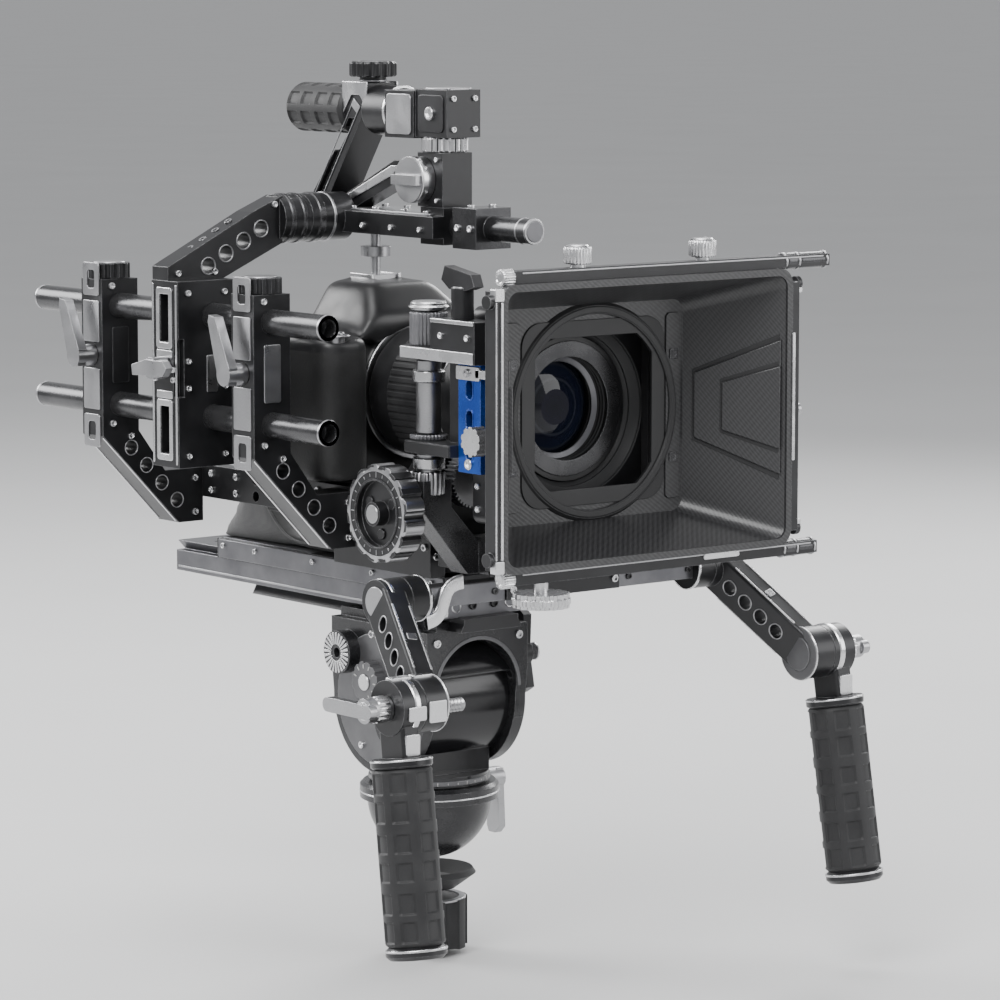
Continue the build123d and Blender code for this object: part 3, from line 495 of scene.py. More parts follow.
def screws(name, body, spots, axis, radius=2.5, finish=SILVER, height=1.6):
    """A group of like screws on one body."""
    return group(name, body, finish, screw, [(spot, axis, radius, height) for spot in spots])


def rings(name, body, axis, spots, finish=SILVER, inner=None, ease=0.4):
    """A group of turned rings: each spot is (point, radius, low, high) along the axis."""
    parts = [(at, axis, radius, low, high, ease, inner) for at, radius, low, high in spots]
    return group(name, body, finish, collar, parts)


def plates(name, body, axis, spots, finish, bevel=0.3, up=UP):
    """Rounded plates: each spot is (point, width, height, corner radius, thickness[, start])."""
    parts = [
        (placed(at, axis, up), rounded(width, height, radius), start[0] if start else SUNK, thick)
        for at, width, height, radius, thick, *start in spots
    ]
    return group(name, body, finish, prism, parts, bevel)


def knurled(name, body, axis, spots, finish, segments):
    """Knurled rims: each spot is (point, root radius, knurl, height of one step, whole height)."""
    parts = [
        (placed(at, axis), [(root, 0), (knurl, step), (knurl, high - step), (root, high)], segments)
        for at, root, knurl, step, high in spots
    ]
    return group(name, body, finish, lathe, parts)


def marks(name, body, finish, width, low, high, spots):
    """Printed lines of one width: each spot is (point, axis, up, length)."""
    parts = [
        (placed(at, axis, up), rounded(width, long, 0.2, 2), low, high) for at, axis, up, long in spots
    ]
    return group(name, body, finish, prism, parts)


def hoops(name, body, axis, spots, finish=SILVER, width=0.9, proud=0.5):
    """Bright rims round drilled holes: each spot is (point, hole radius)."""
    parts = []
    for at, radius in spots:
        profile = [(radius + width, SUNK), (radius + width, proud * 0.5), (radius + width * 0.5, proud)]
        profile += [(radius + 0.05, proud * 0.4), (radius + 0.05, SUNK)]
        parts.append((placed(at, axis), profile, 28, True))
    return group(name, body, finish, lathe, parts)


def run_of_line(name, line, finish, body, depth, extrude=0.0, resolution=3):
    """A smooth curve through a given line of points in mm: a cord, or a strap when extruded."""
    curve = bpy.data.curves.new(name, "CURVE")
    curve.dimensions = "3D"
    curve.bevel_depth = depth * MM
    curve.bevel_resolution = resolution
    curve.extrude = extrude * MM
    spline = curve.splines.new("NURBS")
    spline.points.add(len(line) - 1)
    for point, spot in zip(spline.points, line):
        point.co = (*(Vector(spot) * MM), 1.0)
    spline.order_u = 3
    spline.use_endpoint_u = True
    curve.materials.append(finish)
    return ride_as(linked(name, curve), body)


# ---- side brackets
def side_brackets():
    """Label plates, inlays, leg edges, hole rims, screws and knob caps of both side brackets."""
    rod_low, rod_high, rod_mid = corners("side_rods")
    for end in ("front", "rear"):
        low, high, mid = corners(f"{end}_bracket")
        label = [((low.x + 13, low.y, rod_mid.z), 12, 34, 1.5, 0.7)]
        plates(f"{end}_label_plate", "rig", FRONT, label, DULL_SILVER if end == "front" else BLACK)
        bm = bmesh.new()
        face = placed((low.x, mid.y, rod_mid.z), RIGHT)
        for z in (-46, 46):
            slot_outline = rounded(8, 11, 2, centre=(0, z))
            frame_plate(bm, face, rounded(17, 20, 2, centre=(0, z)), slot_outline, SUNK, 0.8)
        for z in (-20.5, 20.5):
            prism(bm, face, rounded(17, 25, 1.2, centre=(0, z)), SUNK, 0.8)
        piece(f"{end}_side_inlays", bm, DULL_SILVER, "rig", 0.2)
        start, stop = Vector((-133, 0, 214)), Vector((-78, 0, 157))
        along = (stop - start).normalized()
        outward = Vector((along.z, 0, -along.x))
        middle = (start + stop) / 2
        length = (stop - start).length - 3
        spots = [((middle.x, y, middle.z), 1.4, length, 0.5, 0.5) for y in (low.y + 1.6, high.y - 1.6)]
        plates(f"{end}_leg_edges", "rig", outward, spots, SILVER, 0.15, along)
        first_hole = Vector((-126.5, low.y, 220.2))
        spots = [(first_hole + along * (20 + 16 * i), 4.2) for i in range(4)]
        hoops(f"{end}_hole_rims", "rig", FRONT, spots, DULL_SILVER, 0.7, 0.4)
        spots = [(low.x + 7, low.y, z) for z in (high.z - 4, rod_low.z - 4)]
        spots += [(-66, low.y, 184), (-66, low.y, 163), (-113, low.y, 213)]
        screws(f"{end}_bracket_screws", "rig", spots, FRONT, 2.1)
        _, knob_high, knob_mid = corners(f"{end}_rod_knob")
        cap = [((knob_mid.x, knob_mid.y, knob_high.z), 9.6, -0.4, 0.9)]
        rings(f"{end}_rod_knob_cap", f"{end}_knob", UP, cap, DULL_SILVER)
    for name, axis, y in (("front", FRONT, rod_low.y), ("rear", REAR, rod_high.y)):
        ends = [((rod_mid.x, y, z), 7.7, -1.8, 0.0) for z in (rod_low.z + 7.5, rod_high.z - 7.5)]
        rings(f"side_rod_rings_{name}", "rig", axis, ends, DULL_SILVER, inner=5.2)


def sliding_clamp():
    """Bright slot frames, edge bars and screws of the clamp that carries the handle arm."""
    low, high, mid = corners("slide_clamp")
    face = placed((low.x, mid.y, mid.z), RIGHT)
    frames = [
        (face, rounded(16, 36, 2, centre=(0, z)), rounded(9.4, 28.4, 0.6, centre=(0, z)), SUNK, 0.9)
        for z in (33, -33)
    ]
    group("clamp_slot_frames", "clamp", SILVER, frame_plate, frames, 0.2)
    bars = [((low.x, mid.y + y, mid.z), 1.6, 106, 0.6, 0.6) for y in (11.8, -11.8)]
    bars += [((low.x, mid.y, mid.z + z), 16, 4.4, 0.8, 0.8) for z in (-12, 12)]
    plates("clamp_edge_bars", "clamp", RIGHT, bars, SILVER, 0.15)
    spots = grid(low.x, (low.y + 4.5, high.y - 4.5), (low.z + 52, high.z - 52))
    screws("clamp_screws", "clamp", spots, RIGHT, 1.8)
    spots = grid((mid.x - 13, mid.x + 13), low.y, (low.z + 7, mid.z - 8, mid.z + 8, high.z - 7))
    screws("clamp_front_screws", "clamp", spots, FRONT, 1.9)
    name_plate = [((mid.x + 4, low.y, mid.z), 8, 22, 1, 0.5)]
    plates("clamp_name_plate", "clamp", FRONT, name_plate, DULL_SILVER)


def handle_arm():
    """Hole rims, screws and the turned bands of the arm up to the top handle."""
    slope = math.atan2(47, 88)
    run = Vector((math.cos(slope), 0, math.sin(slope)))
    for name, axis, y in (("arm", FRONT, 62), ("arm_rear", REAR, 78)):
        spots = [(Vector((-132, y, 313)) + run * (18 + 14.5 * i), 4.5) for i in range(4)]
        hoops(f"{name}_hole_rims", "clamp", axis, spots, DULL_SILVER)
    bands = [((-57.5, *HANDLE_PIVOT), 15.2, -3.4, 3.4), ((-49, *HANDLE_PIVOT), 15.2, -3.2, 3.2)]
    rings("arm_knuckle_bands", "clamp", LEFT, bands, ROD, inner=14.2, ease=2.2)
    rings("top_knuckle_bands", "handle", LEFT, [((-36, *HANDLE_PIVOT), 15.2, -4.5, 4.5)], ROD, 14.2, 2.6)
    rings("top_knuckle_rim", "handle", LEFT, [((-27, *HANDLE_PIVOT), 15.0, -1.0, 1.0)], DULL_SILVER, 14.2)
    rim = [(2.4, SUNK), (2.4, 0.35), (1.4, 0.35), (1.4, SUNK)]
    upper = Vector((-114.5, 70, 337))
    parts = [
        (placed(upper + run * 10.4 * step, (-run.z, 0, run.x)), rim, 20, True) for step in range(-2, 3)
    ]
    group("arm_top_hole_rims", "clamp", DULL_SILVER, lathe, parts)
    screws("arm_foot_screws", "clamp", [(-138, 62, 318), (-112, 62, 318), (-68, 62, 356)], FRONT, 2.0)


# ---- top handle
def grip_sleeve(name, start, end, radius, node, body, rows, seams):
    """A rubber sleeve with rows of moulded pockets between ribs, round a handle's own line."""
    axis = Vector(end) - Vector(start)
    length = axis.length
    steps = max(24, int(length * 0.9))
    bm = bmesh.new()
    profile = []
    for step in range(steps + 1):
        height = length * step / steps
        cell = height / length * rows % 1
        in_pocket = 0.1 < cell < 0.9 and not 0.43 < cell < 0.57
        ease = 2.0 * (1 - min(min(height, length - height) / 2.5, 1.0)) ** 2

        def reach(angle, in_pocket=in_pocket, ease=ease):
            share = angle / (2 * math.pi) * seams
            depth = 1.1 if in_pocket and 0.2 < share % 1 < 0.8 else 0.0
            return radius - depth - ease

        profile.append((reach, height))
    lathe(bm, placed(start, axis), [(0, 0)] + profile + [(0, length)], 96)
    return piece(name, bm, RUBBER, body, node=node)


def top_handle():
    """Sleeve, shoe block, ribbed ring, knob and screws of the top handle."""
    low, high, mid = corners("handle_grip")
    front, rear = (0, low.y, mid.z), (0, high.y, mid.z)
    grip_sleeve("top_grip_sleeve", front, rear, 15.0, "handle_grip", "handle", 2, 7)
    rings("top_grip_end", "handle", REAR, [(rear, 8.0, -1.6, -0.2)], DULL_SILVER)
    rings("shoe_block_rim", "handle", FRONT, [((0, 24.5, 411), 15.3, -1.0, 1.0)], SILVER, 13.6)
    ribbed = [((0, -16, 388.6), 13.0, ribs(13.9, 1.3, 22), 0.6, 8)]
    knurled("ribbed_ring", "handle", UP, ribbed, SILVER, 132)
    plates("shoe_block_face", "handle", RIGHT, [((-14, 10, 410), 24, 24, 3, 0.8)], DULL_SILVER)
    plates("shoe_block_front", "handle", RIGHT, [((-12.5, -19, 411), 24, 22, 3, 0.8)], BLACK)
    screws("shoe_block_screws", "handle", [(-13.3, -19, 411)], RIGHT, 4.0)
    screws("shoe_block_nose_screws", "handle", grid((-8, 8), -34, (402, 420)), FRONT, 1.8)
    plates("shoe_block_cap", "handle", UP, [((0, -19, 425), 18, 24, 2, 0.9)], DULL_SILVER)
    screws("column_screws", "handle", grid(-11, (-23, -9), (384, 360)), RIGHT, 1.6)
    disc = corners("handle_disc_knob")[2]
    rings("disc_knob_rim", "disc_knob", RIGHT, [((-18, disc.y, disc.z), 13.9, -2.2, 2.2)], SILVER, 12.6)
    _, knob_high, knob_mid = corners("handle_knob")
    top = knob_high.z
    knurl = ribs(14.3, 1.6, 14)
    stem = [(0, -19.5), (4, -19.5), (4, -12.7), (8, -12.7), (8, -9.2), (13.2, -9.2)]
    crown = [(knurl, -8.4), (knurl, -1.2), (12.8, 0), (9.4, 0), (9.0, -0.9), (0, -0.9)]
    bm = bmesh.new()
    lathe(bm, placed((0, knob_mid.y, top), UP), stem + crown, 112)
    piece("handle_knob_body", bm, BLACK, "grip_knob", node="handle_knob")
    cap = [((0, knob_mid.y, top), 7.6, -1.0, -0.2), ((0, knob_mid.y, top - 12.4), 8.6, 0, 1.6)]
    rings("handle_knob_cap", "grip_knob", UP, cap, DULL_SILVER)


def handle_struts():
    """Inlaid strut faces, the bright cap over the strut and the bright brace."""
    outline = [(-102, 354), (-93, 354), (-52, 413), (-58, 418)]
    cap = [(44.8, 412), (44.8, 428), (69, 428), (69, 408), (60, 420), (52, 420)]
    brace = inset([(84, 354), (72, 354), (22, 374), (17, 380), (24, 380)], 0.9)
    sides = [placed((side * 11, 0, 0), (side, 0, 0)) for side in SIDES]
    for side, place in zip(SIDES, sides):
        bm = bmesh.new()
        face = [(-side * y, z) for y, z in outline]
        frame_plate(bm, place, face, inset(face, 0.86), SUNK, 0.5)
        piece(f"strut_trim_{SIDE_NAMES[side]}", bm, DULL_SILVER, "handle", 0.1)
    parts = [(place, [(side * y, z) for y, z in cap], 0.0, 1.1) for side, place in zip(SIDES, sides)]
    group("strut_cap", "handle", SILVER, prism, parts, 0.3)
    parts = [
        (placed((side * 7, 0, 0), (side, 0, 0)), [(side * y, z) for y, z in brace], 0.0, 0.8)
        for side in SIDES
    ]
    group("brace_faces", "handle", SILVER, prism, parts, 0.2)


def top_plate():
    """The rail, screws and front rod under the top handle."""
    plates("top_plate_shoe", "handle", UP, [((0, 22, 351), 30, 84, 2, 1.2)], DULL_SILVER, up=REAR)
    screws("top_plate_screws", "handle", grid((-12, 12), (-14, 8, 36, 58), 352.2), UP, 2.2)
    screws("top_plate_side_screws", "handle", grid(-20, (-18, 10, 38), 343), RIGHT, 1.8)
    rod_front = corners("top_rod")[0].y
    end = (0, rod_front, 345)
    rod_rings = [(end, 7.7, -1.4, 0.2), ((0, rod_front + 9, 345), 7.8, -0.7, 0.7)]
    rings("top_rod_rings", "handle", FRONT, rod_rings, DULL_SILVER, inner=6.2)
    rings("top_rod_bung", "handle", FRONT, [(end, 6.3, SUNK, 0.5)], GREY)
    screws("rod_clamp_screws", "handle", grid(-13, (-57, -45), 345), RIGHT, 2.2)
    screws("rod_clamp_top_screws", "handle", grid((-8, 8), -51, 357), UP, 2.2)


# ---- camera
def melted(node, name, voxel, rounds):
    """A copy of a node's shape, rebuilt from voxels and smoothed in rounds."""
    made = linked(name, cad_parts[node].data.copy())
    remesh = made.modifiers.new("voxels", "REMESH")
    remesh.mode = "VOXEL"
    remesh.voxel_size = voxel * MM
    melt = made.modifiers.new("melted", "SMOOTH")
    melt.factor, melt.iterations = 0.5, rounds
    graph = bpy.context.evaluated_depsgraph_get()
    shape = bpy.data.meshes.new_from_object(made.evaluated_get(graph))
    made.modifiers.clear()
    shape.materials.clear()
    made.data = shape
    return made


def camera_body():
    """The camera body: the CAD body's own shape, melted into a moulded one."""
    body = melted("camera_body", "camera_shell", 1.6, 80)
    body.data.materials.append(PLASTIC)
    body.data.materials.append(SKIN)
    low, high, _ = corners("camera_body")
    for face in body.data.polygons:
        spot = face.center / MM
        grip = spot.x < low.x + 42 and spot.y < 58 and spot.z < high.z - 40
        flank = abs(spot.x) > 50 and spot.z < high.z - 48
        face.material_index = 1 if grip or flank else 0
    body.data.shade_smooth()
    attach(body, "rig")
    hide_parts("camera_body")


def camera_trim():
    """Shutter collar, lens mount, hot shoe, screen, eyepiece, buttons and socket door."""
    shutter = corners("shutter_button")[2]
    rings("shutter_collar", "rig", UP, [((shutter.x, shutter.y, 281.2), 8.2, 0, 1.4)], DULL_SILVER, 5.6)
    rings("lens_mount_ring", "rig", FRONT, [((0, 10.2, 245), 41.6, 0, 1.4)], DULL_SILVER, 36.6)
    shoe = [((side * 10.2, 52, 308.6), 2.4, 21, 0.4, 4.2, 0) for side in SIDES]
    shoe.append(((0, 52, 308.4), 22, 21, 1, 0.7, 0))
    plates("hot_shoe", "rig", UP, shoe, SILVER, 0.2)
    plates("rear_screen_frame", "rig", REAR, [((-8, 72.6, 232), 86, 62, 4, 1.4)], PLASTIC, 0.6)
    plates("rear_screen", "rig", REAR, [((-8, 74.0, 232), 76, 52, 1.5, 0.35)], SCREEN, 0.1)
    eyecup = (placed((0, 69, 292), REAR), rounded(40, 26, 6), rounded(26, 15, 3), 0, 5.6)
    group("eyecup", "rig", RUBBER, frame_plate, [eyecup], 1.0)
    buttons = [((52, 72.8, z), 3.2, 0, 1.6) for z in (252, 240, 228, 216)]
    rings("rear_buttons", "rig", REAR, buttons + [((-66, 72.8, 238), 8.5, 0, 1.4)], SKIN)
    plates("socket_door", "rig", LEFT, [((67.0, 50, 240), 26, 52, 3, 0.9, -0.6)], RUBBER, 0.5)


def lens():
    """Index marks, filter thread, bezel and glass retainer of the lens."""
    axis_z = corners("front_element")[2].z
    rings("barrel_line", "rig", FRONT, [((0, -59.8, axis_z), 40.3, -0.5, 0.5)], DULL_SILVER, 39.6)
    threads = [((0, -113 - 2.6 * step, axis_z), 30.0, 29.4, 0.4, 1.6) for step in range(6)]
    knurled("filter_thread", "rig", FRONT, threads, SHADE, 64)
    rings("front_bezel", "rig", FRONT, [((0, -130.0, axis_z), 39.2, -0.6, 0.6)], ROD, 30.0, 0.3)
    profile = [(30.0, 0), (27.2, 0.4), (26.4, 1.4), (30.0, 3.2)]
    retainer = (placed((0, -118.6, axis_z), FRONT), profile, 64, True)
    group("glass_retainer", "rig", GREY, lathe, [retainer])
    ticks = []
    for step in range(-6, 7):
        angle = math.radians(90 + 7 * step)
        outward = Vector((math.cos(angle), 0, math.sin(angle)))
        ticks.append((Vector((0, -70, axis_z)) + outward * 40, outward, REAR, 3.2 if step % 3 else 6))
    marks("lens_scale_marks", "rig", INK, 0.6, SUNK, 0.15, ticks)


# ---- rods, base and focus
def base_plates():
    """Screws and trim of the dovetail plate, the sled, the bridge over it and the base rods."""
    low, high, mid = corners("dovetail_plate")
    for side in SIDES:
        line = [((side * 31, mid.y, 118.6), high.y - low.y - 4, 1.2, 0.4, 0.25)]
        plates(f"dovetail_line_{SIDE_NAMES[side]}", "plate", (side, 0, 0), line, DULL_SILVER, 0.1)
    end_z = 122.5
    ends = [((x, low.y, end_z), 2.6) for x in (-20, 20)]
    hoops("dovetail_end_holes", "plate", FRONT, ends, SILVER, 1.0)
    screws("dovetail_stop_screws", "plate", grid((-8, 8), low.y, end_z), FRONT, 2.6, BLACK)
    plates("dovetail_corner", "plate", FRONT, [((-28.4, low.y, end_z), 4, 11, 1, 0.6)], SILVER, 0.2)
    spots = grid((-40, 40), -58, (155, 174)) + [(0, -58, 174)]
    screws("bridge_front_screws", "rig", spots, FRONT, 2.4)
    along = (-53, -43, 17, 31)
    screws("bridge_side_screws", "rig", grid(-44, along, 160), RIGHT, 2.2)
    screws("bridge_left_screws", "rig", grid(44, along, 160), LEFT, 2.2)
    screws("bridge_top_screws", "rig", grid((-40, 34), (-50, 10, 88), 180), UP, 2.6)
    for side in SIDES:
        cover = [((side * 34, 56, 135.6), 228, 11.6, 0.8, 0.8)]
        plates(f"sled_cover_{SIDE_NAMES[side]}", "rig", (side, 0, 0), cover, GREY)
    plates("sled_deck", "rig", UP, [((0, 122, 142), 64, 96, 2, 0.4)], GREY, up=REAR)
    along = (-48, 10, 70, 130, 164)
    screws("sled_screws", "rig", grid(-34.7, along, 137.5), RIGHT, 1.8)
    screws("sled_left_screws", "rig", grid(34.7, along, 137.5), LEFT, 1.8)
    spots = grid(-60, (30, 50, 114, 140), (177, 187))
    screws("side_plate_screws", "rig", spots, RIGHT, 2.2)
    rod_axes = (-30, 30)
    rings("base_rod_caps", "rig", FRONT, [((x, -127, 160), 7.6, SUNK, 2.0) for x in rod_axes], ROD)
    rings("base_rod_bungs", "rig", FRONT, [((x, -128.4, 160), 5.2, 0, 1.2) for x in rod_axes], SILVER)
    fin = [(-2.6, -5), (1.2, -5), (2.8, 5), (-1.0, 5)]
    fins = [
        (placed((-43.9, -26 + 6.2 * step, 173.8), (-1, 0.25, 0)), fin, 0.2, 5.5) for step in range(7)
    ]
    group("clamp_fins", "rig", DULL_SILVER, prism, fins, 0.5)


def crossbar():
    """Rosette bands, covers, screws and the cable strap of the crossbar."""
    for side in SIDES:
        band = [((side * 99.6, *ARM_AXIS), 13.4, 0, 2.0)]
        rings(f"rosette_band_{SIDE_NAMES[side]}", "rig", (side, 0, 0), band, SILVER, 12.6)
    spots = grid((-38, 38), -127, (143, 166)) + [(0, -127, 153)]
    screws("crossbar_screws", "rig", spots, FRONT, 2.4)
    covers = [((side * 73, -125, 143), 61, 11.6, 0.8, 0.9) for side in SIDES]
    plates("crossbar_covers", "rig", FRONT, covers, GREY)
    screws("crossbar_cover_screws", "rig", grid((-96, -50, 50, 96), -125.9, 143), FRONT, 2.0, BLACK, 1.2)
    sweep = [(-101, 130), (-95, 131), (-90.5, 135), (-88.5, 141), (-86, 147), (-81, 150.5), (-75, 151)]
    line = [(x, -127.6, z) for x, z in sweep]
    run_of_line("cable_strap", line, SILVER, "rig", 1.2, 3.2, 2)


def follow_focus():
    """Flutes, dial marks and rims of the hand wheel, and the gearbox screws."""
    mid = corners("focus_hand_wheel")[2]
    body = "hand_wheel"
    flute = ribs(28.5, 2.8, 13)
    rim = [(24.5, -0.3), (flute, 0.6), (flute, 13.4), (25.8, 14.3), (24.4, 14.3), (24.4, 13.8)]
    fluted = (placed((-86, mid.y, mid.z), RIGHT), rim, 128, True)
    group("hand_wheel_flutes", body, DULL_SILVER, lathe, [fluted])
    ticks = [
        ((-100, mid.y + 22.4 * y, mid.z + 22.4 * z), RIGHT, (0, y, z), 1.8 if i % 3 else 3.2)
        for i, _, y, z in turned(24)
    ]
    marks("hand_wheel_marks", body, DULL_SILVER, 0.6, -0.1, 0.2, ticks)
    rings("hand_wheel_rim", body, RIGHT, [((-100, mid.y, mid.z), 20.4, -0.4, 0.8)], BLACK, 19.2)
    rings("hand_wheel_hub", body, RIGHT, [((-102.4, mid.y, mid.z), 5.4, 0, 1.0)], DULL_SILVER)
    pins = [
        ((-96, mid.y + 12 * math.cos(a), mid.z + 12 * math.sin(a)), 3.2, 0, 1.2) for a in (0.5, 2.6, 4.7)
    ]
    rings("hand_wheel_pins", body, RIGHT, pins, BLACK, ease=0.3)
    spots = [(-46, -83, 208), (-28, -83, 206), (-56, -83, 182), (-28, -83, 180)]
    screws("gearbox_screws", "rig", spots, FRONT, 2.0)
    screws("gearbox_side_screws", "rig", grid(-64, (-79, -67), 206), RIGHT, 1.8)


# ---- matte box: hinge
POST = (-72, -93)  # X and Y of the hinge post


def hinge_post():
    """Cap, collars, sleeves, foot and lower block of the hinge post, and the barrels on it."""
    cap = [((*POST, 303.5), 10.3, -0.5, 4.8), ((*POST, 303.5), 11.6, 0.8, 2.6)]
    rings("post_cap", "rig", UP, cap, SILVER, ease=0.8)
    spots = [((*POST, 262), 9.3, 0, 7), ((*POST, 212), 9.3, 0, 7), ((*POST, 246), 7.0, 0, 3)]
    rings("post_collars", "rig", UP, spots, SILVER, inner=6.0, ease=0.8)
    sleeves = [((*POST, 232.8), 7.2, 0, 42), ((*POST, 205), 7.2, 0, 16)]
    rings("post_sleeves", "rig", UP, sleeves, DULL_SILVER, inner=6.0)
    foot = [((*POST, 197.6), 8.8, ribs(9.8, 0.8, 20), 0.7, 13)]
    knurled("post_foot", "rig", UP, foot, DULL_SILVER, 120)
    plates("post_lower_block", "rig", RIGHT, [((-82, -78, 197), 13, 15, 1.5, 0.9)], SILVER)
    knurl = ribs(11.0, 0.9, 30)
    parts = []
    for low, high in ((283.1, 302.3), (229.1, 232.4)):
        tall = high - low
        profile = [(10.1, 0), (10.1, 0.3), (knurl, 0.7), (knurl, tall - 0.7), (10.1, tall)]
        parts.append((placed((*POST, low), UP), profile, 180))
    group("hinge_barrels", "matte_box", GREY, lathe, parts)


def hinge_arm():
    """Edge plates and screws of the swing arm, the link and the stage, and the lock lever's cap."""
    body, face_x = "matte_box", -84
    strips = [((face_x, -116, 279.5), 67, 6.6, 0.8, 0.9)]
    strips.append(((face_x, -130.2, 299.2), 39, 2.4, 0.4, 0.8, -0.4))
    plates("arm_edge_plates", body, RIGHT, strips, SILVER, 0.25)
    plates("arm_lower_plate", body, RIGHT, [((face_x, -107, 225.5), 41, 6.6, 0.8, 0.9)], BLACK)
    screws("arm_screws", body, grid(face_x, (-144, -120), 291), RIGHT, 2.0)
    link_low, link_high, link = corners("stage_link")
    bracket_z = link_high.z - 5
    bracket = [((link_low.x, link.y, bracket_z), 21, 8, 1, 1.6)]
    bracket.append(((link_low.x, -150, bracket_z), 10, 5, 1, 1.6, -6))
    plates("link_top_bracket", body, RIGHT, bracket, SILVER, 0.3)
    screws("link_low_screw", body, [(link_low.x, link.y, 219)], RIGHT, 3.2)
    screws("link_high_screw", body, [(link_low.x - 1.6, link.y, 270.8)], RIGHT, 2.4, DULL_SILVER)
    slot_outline = rounded(6.0, 11.0, 2.9)
    rims = [
        (placed((link_low.x, link.y, z), RIGHT), inset(slot_outline, 1.2), slot_outline, SUNK, 0.35)
        for z in (226.5, 244.0, 261.5)
    ]
    group("link_slot_rims", body, BLUE, frame_plate, rims, 0.1)
    places = ((-145, -131), (192, 205, 285, 298))
    screws("stage_side_screws", body, grid(-66, *places), RIGHT, 2.0)
    screws("stage_left_screws", body, grid(66, *places), LEFT, 2.0)
    rings("lock_lever_cap", "swing_lock", UP, [((-75, -128, 317.5), 5.6, 0, 1.2)], DULL_SILVER)


# ---- matte box: sunshade
def shade_inside():
    """Back strips and screws, the round lip, the window rim and the bellows round the lens."""
    body, back_y = "matte_box", -153
    axis_z = corners("lens_barrel")[2].z
    strips = [((side * 59.6, back_y, axis_z), 11, 108, 3, 1.0) for side in SIDES]
    plates("back_strips", body, FRONT, strips, CARBON)
    bm = bmesh.new()
    for spot in grid((-59.6, 59.6), back_y - 1, (axis_z - 30, axis_z + 30)):
        washer = rounded(6.0, 6.0, 0.8, 4)
        frame_plate(bm, placed(spot, FRONT), washer, rounded(3.0, 3.0, 1.4, 4), SUNK, 0.7)
        collar(bm, spot, FRONT, 1.5, 0, 0.5, 0.1)
    piece("back_strip_screws", bm, ROD, body, 0.1)
    place = placed((0, back_y, axis_z), FRONT)
    lip = [(56.2, 0), (56.2, 1.6), (57.2, 2.5), (60.0, 2.5), (61.4, 1.6), (63.0, 0)]
    group("round_lip", body, SHADE, lathe, [(place, lip, 96)])
    square = rounded(106, 106, 14, 12)
    cuts = [min(1.0, 56.4 / math.hypot(x, y)) for x, y in square]
    inner = [(x * cut, y * cut) for (x, y), cut in zip(square, cuts)]
    group("window_rim", body, SHADE, frame_plate, [(place, square, inset(inner, 0.955), -1.2, 0.9)], 0.3)
    bellows = [(50.4, -0.6), (50.4, 1.5), (47.5, 4.5), (45.6, 5.6), (45.6, 6.4), (43.2, 8.2), (42.2, 10.5)]
    donut = group("lens_donut", body, SHADE, lathe, [(placed((0, -137.0, axis_z), REAR), bellows, 96)])
    donut.modifiers.new("cloth thickness", "SOLIDIFY").thickness = 0.8 * MM
    for side in SIDES:
        shade_wall(side, body, axis_z, back_y)


def shade_wall(side, body, axis_z, back_y):
    """The nested, raised frames on the inside of one side wall, and dark bands round them: painted shade
    at their steps.
    """
    start, end = Vector((side * 67.5, back_y, axis_z)), Vector((side * 103.5, -203, axis_z))
    run = (end - start).normalized()
    inward = Vector((-side * abs(run.y), -abs(run.x), 0)).normalized()
    place = placed(start + run * 32, inward)
    flip = 1 if (place.to_3x3() @ Vector(LEFT)).dot(run) > 0 else -1
    panels, painted_shade_bands = [], []
    for back_u, half_back, half_front, rise in ((-25, 19, 39, 2.0), (-8, 14, 24, 3.8)):
        panel = [(back_u, -half_back), (26.5, -half_front), (26.5, half_front), (back_u, half_back)]
        panels.append((place, [(flip * u, v) for u, v in panel], -0.3, rise))
        # a dark band a little larger and lower than each frame: painted shade along the frame's step
        painted_shade_band = [(flip * (u - 1.3), v * (1 + 1.5 / half_back)) for u, v in panel]
        painted_shade_bands.append((place, painted_shade_band, -0.3, rise - 1.6))
    group(f"wall_panels_{SIDE_NAMES[side]}", body, CARBON, prism, panels, 0.6)
    group(f"wall_painted_shade_bands_{SIDE_NAMES[side]}", body, SHADE, prism, painted_shade_bands)


RAIL_Y, MOUTH_Y = -194.5, -199  # the rails' own line, and the front face of the shade


